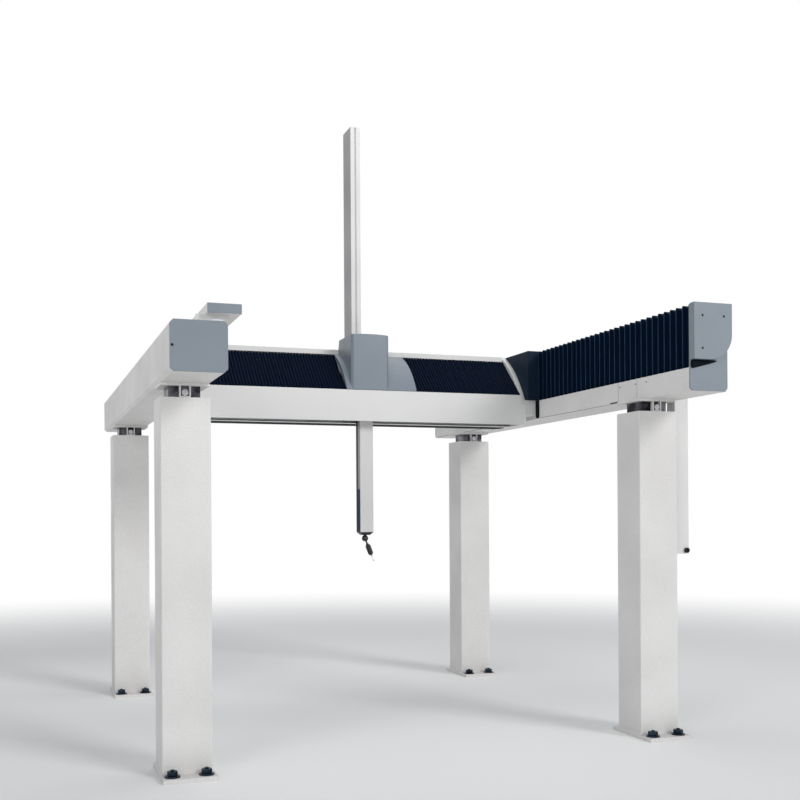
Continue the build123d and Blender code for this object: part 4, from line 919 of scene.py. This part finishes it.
@dataclass
class Slat:
    """A thin flat bar that lies on a face, such as a seam, a strip or a wiper.

    Its middle, length, width and thickness are metres. along and out are the unit directions
    of its length and of its thickness. corner is the outline's radius as a share of the shorter
    side, and rim the rounding as a share of that radius or the thickness.
    """

    middle: Place
    length: float
    width: float
    thick: float
    along: Place
    out: Place
    corner: float = 0.3
    rim: float = 0.4
    steps: int = 5

    def shell(self) -> Shell:
        """Make the bar from three rings of a rounded rectangle: its foot, its shoulder and its face.

        The outline is a quarter arc about each corner's centre, joined by straight sides. The face's
        arcs are smaller, which rounds the rim. Strips across from side to side close foot and face.

        Returns:
            The closed surface.
        """
        radius = min(self.width, self.length) * self.corner
        rim = min(radius, self.thick) * self.rim
        quarter = np.linspace(0, np.pi / 2, self.steps)[None, :]
        angle = (np.arange(4)[:, None] * np.pi / 2 + quarter).ravel()
        side_run = np.repeat([1, -1, -1, 1], self.steps) * (self.length / 2 - radius)
        side_width = np.repeat([1, 1, -1, -1], self.steps) * (self.width / 2 - radius)
        arc = (radius - np.array([0.0, 0.0, rim]))[:, None]
        level = np.array([0.0, self.thick - rim, self.thick])[:, None, None]
        run = (side_run + arc * np.cos(angle))[..., None]
        width = (side_width + arc * np.sin(angle))[..., None]
        along, out = np.array(self.along), np.array(self.out)
        grid = np.array(self.middle) + run * along + width * np.cross(out, along) + level * out
        body = Shell.from_grid(grid, around=True)
        around = 4 * self.steps
        first = np.arange(around // 2 - 1)
        foot = np.stack([first, first + 1, around - 2 - first, around - 1 - first], axis=-1)
        return Shell(body.points, np.concatenate([body.faces, foot[:, ::-1], foot + 2 * around]))


@dataclass
class BeamDetails(Assembly):
    """The beams, with the seams, screws and cable slot in the main beam's inner face; the grey seams
    and the black plate of the slot paint the shade of the grooves and of the opening.
    """

    face_x: float = 1.454
    foot_z: float = 2.338
    ledge_z: float = 2.488
    seams_y: tuple[float, ...] = (-1.37, -1.62)
    seam: float = 4 * MM
    foot_seam_y: Pair = (-1.25, 2.2)
    proud: float = 0.5 * MM
    slot_y: float = -1.309
    slot: Pair = (110 * MM, 10 * MM)
    screws_y: tuple[float, ...] = (-1.392, -1.598, -1.74)
    screw_z: float = 2.452
    screw_r: float = 6 * MM
    screw: float = 1.8 * MM
    screw_around: int = 24
    cap_y: float = 2.257
    housing_foot: float = 2.536
    lip_x: Pair = (1.4545, 1.655)
    lip_drop: Pair = (60 * MM, 8 * MM)
    lip: float = 14 * MM
    lip_rows: int = 33
    lip_around: int = 20
    blunt: int = 16

    def housing_lip_shade(self, end: int) -> Shell:
        """Make the dark rubber lip that closes the gap under a guard's end housing
        and also paints the shade of that gap.

        An oval section runs along the housing's foot. Its height goes evenly from lip_drop's first
        value to its second, and both half axes shrink to nothing at the two ends, by the root of
        one less a high power, blunt, of the place from -1 to 1.

        Args:
            end: Minus one for the front of the machine, one for the rear.

        Returns:
            The closed lip.
        """
        share = np.linspace(0, 1, self.lip_rows)[:, None]
        angle = even_angles(self.lip_around)[None, :]
        close = np.sqrt(1 - (2 * share - 1) ** self.blunt)
        tall, short = self.lip_drop
        half = (tall + (short - tall) * share) / 2
        height = self.housing_foot - half * (1 - close * np.cos(angle))
        out = end * (self.cap_y + self.lip * close * (1 + np.sin(angle)) / 2)
        left, right = self.lip_x
        run = np.repeat(left + (right - left) * share, self.lip_around, axis=1)
        return Shell.from_grid(np.stack([run, out, height], axis=-1), around=True)

    def build(self, shop: Workshop) -> None:
        """Dress the beams and put the small things on the main beam.

        Args:
            shop: The workshop.
        """
        super().build(shop)
        inward = (-1.0, 0.0, 0.0)
        middle, height = (self.foot_z + self.ledge_z) / 2, self.ledge_z - self.foot_z
        low, high = self.foot_seam_y
        foot = (self.face_x, (low + high) / 2, self.foot_z + self.seam)
        # The grey seams stand proud of the face and also paint the shade of the grooves.
        bars = [((self.face_x, y, middle), height, (0, 0, 1)) for y in self.seams_y]
        bars.append((foot, high - low, (0, 1, 0)))
        seams = [Slat(place, run, self.seam, self.proud, way, inward).shell() for place, run, way in bars]
        shop.fit("main_beam_seams", Shell.joined(seams), "sealant_and_groove_shade", "frame")
        # The cable slot is a flat black plate: painted shade of the slot's opening.
        place = (self.face_x, self.slot_y, self.foot_z + self.slot[1])
        slot = Slat(place, *self.slot, self.proud, (0, 1, 0), inward).shell()
        shop.fit("main_beam_slot_shade", slot, "black_nylon", "frame")
        head_r = np.array([0, 1, 1, 0.8, 0.45, 0.4, 0]) * self.screw_r
        head_z = np.array([0, 0, 0.3, 0.85, 1, 0.5, 0.5]) * self.screw
        head = turned(head_r, head_z, self.screw_around)
        lying = head.points[:, [2, 0, 1]] * np.array([-1.0, 1.0, 1.0])
        heads = [Shell(lying, head.faces).moved((self.face_x, y, self.screw_z)) for y in self.screws_y]
        shop.fit("main_beam_screws", Shell.joined(heads), "black_oxide", "frame")
        # The dark lip under each housing also paints the shade of the gap.
        lips = Shell.joined([self.housing_lip_shade(-1), self.housing_lip_shade(1)])
        shop.fit("guard_housing_lip_shade", lips, "shade_rubber", "frame")


@dataclass
class BridgeDetails(Assembly):
    """The bridge, with a dark rubber strip under it as painted shade between cover and girder,
    and a dark wiper beside its leg that also paints the shade of the gap there.

    Each bar's size is its length, width and thickness.
    """

    strip_middle: Place = (-0.0295, 0.319, 2.288)
    strip_size: Place = (2.691, 0.162, 3 * MM)
    wiper_middle: Place = (1.4518, -0.092, 2.4165)
    wiper_size: Place = (0.145, 0.052, 10 * MM)

    def build(self, shop: Workshop) -> None:
        """Dress the bridge, hang the strip under it and set the wiper.

        Args:
            shop: The workshop.
        """
        super().build(shop)
        # The strip is painted shade of the gap between the under cover and the girder.
        strip = Slat(self.strip_middle, *self.strip_size, (1, 0, 0), (0, 0, -1)).shell()
        shop.fit("bridge_shade_strip", strip, "shade_rubber", "bridge")
        # The wiper's near-black rubber also paints the shade of the gap beside the leg.
        blade = Slat(self.wiper_middle, *self.wiper_size, (0, 0, 1), (-1, 0, 0)).shell()
        shop.fit("leg_wiper_shade", blade, "shade_rubber", "bridge")


@dataclass
class CarriageDetails(Assembly):
    """The carriage and its column, with the two brush strips that close the column's slot."""

    slot_x: Pair = (-3 * MM, 9 * MM)
    slot_z: Pair = (2.922, 4.721)
    root_y: float = 0.3082
    brush: float = 2.6 * MM
    parting: float = 0.5 * MM

    def build(self, shop: Workshop) -> None:
        """Dress the carriage and set a brush strip along each side of the slot.

        Args:
            shop: The workshop.
        """
        super().build(shop)
        (left, right), (foot, head) = self.slot_x, self.slot_z
        width, middle = (right - left - self.parting) / 2, (foot + head) / 2
        size = (head - foot, width, self.brush)
        places = [(x, self.root_y, middle) for x in (left + width / 2, right - width / 2)]
        brushes = [Slat(place, *size, (0, 0, 1), (0, -1, 0)).shell() for place in places]
        shop.fit("column_slot_brushes", Shell.joined(brushes), "brush_nylon", "carriage")


def build_guards() -> list[Guard]:
    """Describe the pleated guards.

    Returns:
        The two hoods over the main beam and the two guards on the bridge's slope.
    """
    left, right, bottom, top, depth = 1.454, 1.740, 2.490, 2.895, 22 * MM
    low, near, far = top - depth, left + depth, right - depth
    (foot_y, foot_z), (head_y, head_z), fold = (-0.046, 2.536), (0.301, 2.855), 14 * MM
    run, rise = head_y - foot_y, head_z - foot_z
    slope = math.hypot(run, rise)
    back, down = rise / slope * fold, -run / slope * fold
    hood = {
        "axis": Axis.Y,
        "fixed_body": "frame",
        "moving_body": "bridge",
        "outer": ((left, bottom), (left, top), (right, top), (right, bottom)),
        "inner": ((near, bottom), (near, low), (far, low), (far, bottom)),
        "hangs_from": ("beam_end_caps", "saddle_cover"),
    }
    roof = {
        "axis": Axis.X,
        "fixed_body": "bridge",
        "moving_body": "carriage",
        "outer": ((foot_y, foot_z), (head_y, head_z)),
        "inner": ((foot_y + back, foot_z + down), (head_y + back, head_z + down)),
        "hangs_from": ("bridge_end_plates", "carriage_cover"),
        "corner": 0.0,
        "side_step": 24 * MM,
        "finish": "roof_cloth",
    }
    return [
        Guard("y_bellows_front", -2.2447, -0.1083, (0, 1, 3, 7, 23, 27, 29, 30), **hood),
        Guard("y_bellows_rear", 2.2447, 0.5723, (0, 1, 3, 6, 18, 21, 23, 24), **hood),
        Guard("x_bellows_left", -1.3747, -0.1913, (0, 1, 4, 10, 37, 43, 46, 47), **roof),
        Guard("x_bellows_right", 1.3157, 0.3913, (0, 1, 4, 9, 28, 33, 36, 37), **roof),
    ]


def build_assemblies() -> list[Assembly]:
    """Describe the machine's rigid sub-assemblies.

    Returns:
        The assemblies in the order in which they are put up.
    """
    frame_foot = {
        ("beam_coat", 4.0): "left_pillars right_pillars",
        ("beam_coat", 1.0): "beam_seat_plates",
        ("beam_coat", 0.8): "jack_brackets",
        ("blackened_steel", 0.8): "levelling_wedges",
        ("zinc_plate", 0.8): "jack_screws",
    }
    beams = {
        ("beam_coat", 4.0): "left_beam",
        ("beam_coat", 3.0): "right_beam",
        ("blue_grey_enamel", 3.0): "guard_end_caps",
        ("blue_grey_enamel", 2.0): "beam_end_caps",
        ("blue_grey_enamel", 1.0): "roof_end_caps",
        ("panel_coat", 2.0): "service_duct",
        ("panel_coat", 1.5): "left_guide_roof",
        ("panel_coat", 1.0): "roof_brackets",
        ("black_nylon", 1.0): "duct_gland",
        ("black_nylon", 0.5): "cap_screws",
        ("ground_steel", 0.4): "beam_guide_strips",
        ("ground_steel", 0.0): "y_scale",
    }
    bridge = {
        ("milled_aluminium", 1.5): "bridge_girder bridge_saddle",
        ("panel_coat", 2.0): "bridge_end_plates leg_fairing",
        ("panel_coat", 1.5): "bridge_front_panel",
        ("panel_coat", 1.0): "bridge_top_cover bridge_under_cover",
        ("blue_grey_enamel", 2.0): "bridge_left_arm",
        ("dark_enamel", 3.0): "saddle_cover",
        ("black_anodised", 0.8): "y_read_head y_drive_motor",
        ("black_anodised", 0.6): "bridge_air_pads",
        ("ground_steel", 0.4): "girder_guide_strips",
        ("ground_steel", 0.0): "x_scale",
        ("nitrile", 0.5): "y_drive_wheel",
    }
    carriage = {
        ("milled_aluminium", 1.0): "carriage_plate ram_guide_rings",
        ("milled_aluminium", 0.8): "counterbalance_cylinder",
        ("carriage_skin", 2.0): "carriage_cover",
        ("ram_grey", 1.5): "column",
        ("black_anodised", 0.8): "x_read_head x_drive_motor z_drive_motor",
        ("black_anodised", 0.6): "carriage_air_pads",
        ("nitrile", 0.5): "x_drive_wheel z_drive_wheel",
    }
    ram = {
        ("ram_grey", 0.6): "ram",
        ("milled_aluminium", 0.8): "ram_arm",
        ("black_nylon", 0.3): "ram_drive_strip",
        ("dark_enamel", 0.3): "ram_side_panel",
        ("ground_steel", 0.5): "counterbalance_piston",
        ("ground_steel", 0.0): "stylus",
        ("black_anodised", 0.5): "head_mount",
        ("black_anodised", 0.0): "head_ball tilt_hub probe_body",
        ("ruby", 0.0): "stylus_tip",
    }
    upper = [BeamDetails(beams), BridgeDetails(bridge), CarriageDetails(carriage), Assembly(ram)]
    return [FloorAnchors(frame_foot), *upper]


# Studio


WHITE = (1.0, 1.0, 1.0, 1.0)


@dataclass(frozen=True)
class Lamp:
    """A square soft lamp that faces a point on the machine's upright axis."""

    name: str
    place: Place
    aim_height: float
    side: float
    watts: float

    def hang(self) -> None:
        """Put the lamp into the scene."""
        data = bpy.data.lights.new(self.name, "AREA")
        data.shape = "SQUARE"
        data.size = self.side
        data.energy = self.watts
        thing = put_up(self.name, data)
        thing.location = self.place
        aim = Vector((0.0, 0.0, self.aim_height)) - Vector(self.place)
        thing.rotation_euler = aim.to_track_quat("-Z", "Y").to_euler()


@dataclass
class Studio:
    """The plain room: a pale floor that keeps the shadow, soft lamps and the camera of the photograph."""

    camera_place: Place = (-2.655, -8.268, 1.5476)
    heading_degrees: float = 19.4546
    roll_degrees: float = -0.3589
    sensor_mm: float = 36.0
    lens_mm: float = 49.2125
    shift_up: float = 0.14355
    sight: float = 200.0
    floor_size: float = 60.0
    floor_fade: Pair = (5.0, 14.0)
    floor_colour: str = "#F6F6F5"
    room_colour: str = "#E4E8EE"
    room_light: float = 0.42
    lamps: tuple[Lamp, ...] = (
        Lamp("key_lamp", (22.0, -41.0, 22.0), 1.8, 16.0, 10200.0),
        Lamp("fill_lamp", (-24.0, -26.0, 12.0), 2.0, 16.0, 2500.0),
        Lamp("top_lamp", (0.5, 0.5, 8.5), 0.0, 5.0, 160.0),
    )

    def camera(self) -> None:
        """Set the camera that looks level along its heading, rolled a little clockwise."""
        data = bpy.data.cameras.new("photograph_camera")
        data.sensor_width = self.sensor_mm
        data.lens = self.lens_mm
        data.shift_y = self.shift_up
        data.clip_end = self.sight
        pose = Matrix.Translation(self.camera_place)
        for degrees, axis in ((-self.heading_degrees, "Z"), (90.0, "X"), (self.roll_degrees, "Z")):
            pose = pose @ Matrix.Rotation(math.radians(degrees), 4, axis)
        thing = put_up("photograph_camera", data)
        thing.matrix_world = pose
        bpy.context.scene.camera = thing

    def floor(self) -> None:
        """Lay a floor that is pale near the machine and melts into the white further out."""
        half = self.floor_size / 2
        flat = np.array([[-half, -half, 0], [half, -half, 0], [half, half, 0], [-half, half, 0]])
        thing = to_object("studio_floor", Shell(flat, np.array([[0, 1, 2, 3]])), closed=False)
        material = bpy.data.materials.new("pale_floor")
        tree = empty_tree(material)
        place = add_node(tree, "TexCoord").outputs["Object"]
        far = add_node(tree, "VectorMath", {0: place}, operation="LENGTH").outputs["Value"]
        span = {"Value": far, "From Min": self.floor_fade[0], "From Max": self.floor_fade[1]}
        fade = add_node(tree, "MapRange", span, interpolation_type="SMOOTHSTEP").outputs["Result"]
        paint = {"Base Color": linear(self.floor_colour), "Roughness": 0.85, "IOR": 1.3}
        matt = add_node(tree, "BsdfPrincipled", paint).outputs["BSDF"]
        white = add_node(tree, "Emission", {"Color": WHITE, "Strength": 1.0}).outputs["Emission"]
        mixed = add_node(tree, "MixShader", {0: fade, 1: matt, 2: white}).outputs["Shader"]
        add_node(tree, "OutputMaterial", {"Surface": mixed})
        thing.data.materials.append(material)

    def backdrop(self) -> None:
        """Show white behind the machine and in its gloss, while the room gives a soft grey light."""
        world = bpy.data.worlds.new("studio_room")
        tree = empty_tree(world)
        rays = add_node(tree, "LightPath").outputs
        seen: Value = 0.0
        for ray in ("Is Camera Ray", "Is Transmission Ray", "Is Glossy Ray"):
            seen = add_node(tree, "Math", {0: seen, 1: rays[ray]}, operation="MAXIMUM").outputs["Value"]
        grey = {"Color": linear(self.room_colour), "Strength": self.room_light}
        room = add_node(tree, "Background", grey).outputs["Background"]
        white = add_node(tree, "Background", {"Color": WHITE, "Strength": 1.0}).outputs["Background"]
        mixed = add_node(tree, "MixShader", {0: seen, 1: room, 2: white}).outputs["Shader"]
        add_node(tree, "OutputWorld", {"Surface": mixed})
        bpy.context.scene.world = world

    def build(self) -> None:
        """Set up the whole room."""
        self.camera()
        self.floor()
        self.backdrop()
        for lamp in self.lamps:
            lamp.hang()
        bpy.context.scene.view_settings.view_transform = "Standard"
        LOG.info("studio set")


def main() -> None:
    """Put the machine together, dress it and light it."""
    logging.basicConfig(level=logging.INFO, format="%(name)s: %(message)s")
    shop = Workshop()
    for assembly in build_assemblies():
        assembly.build(shop)
    for guard in build_guards():
        guard.build(shop)
    Studio().build()
    bpy.context.view_layer.update()


if __name__ == "__main__":
    main()
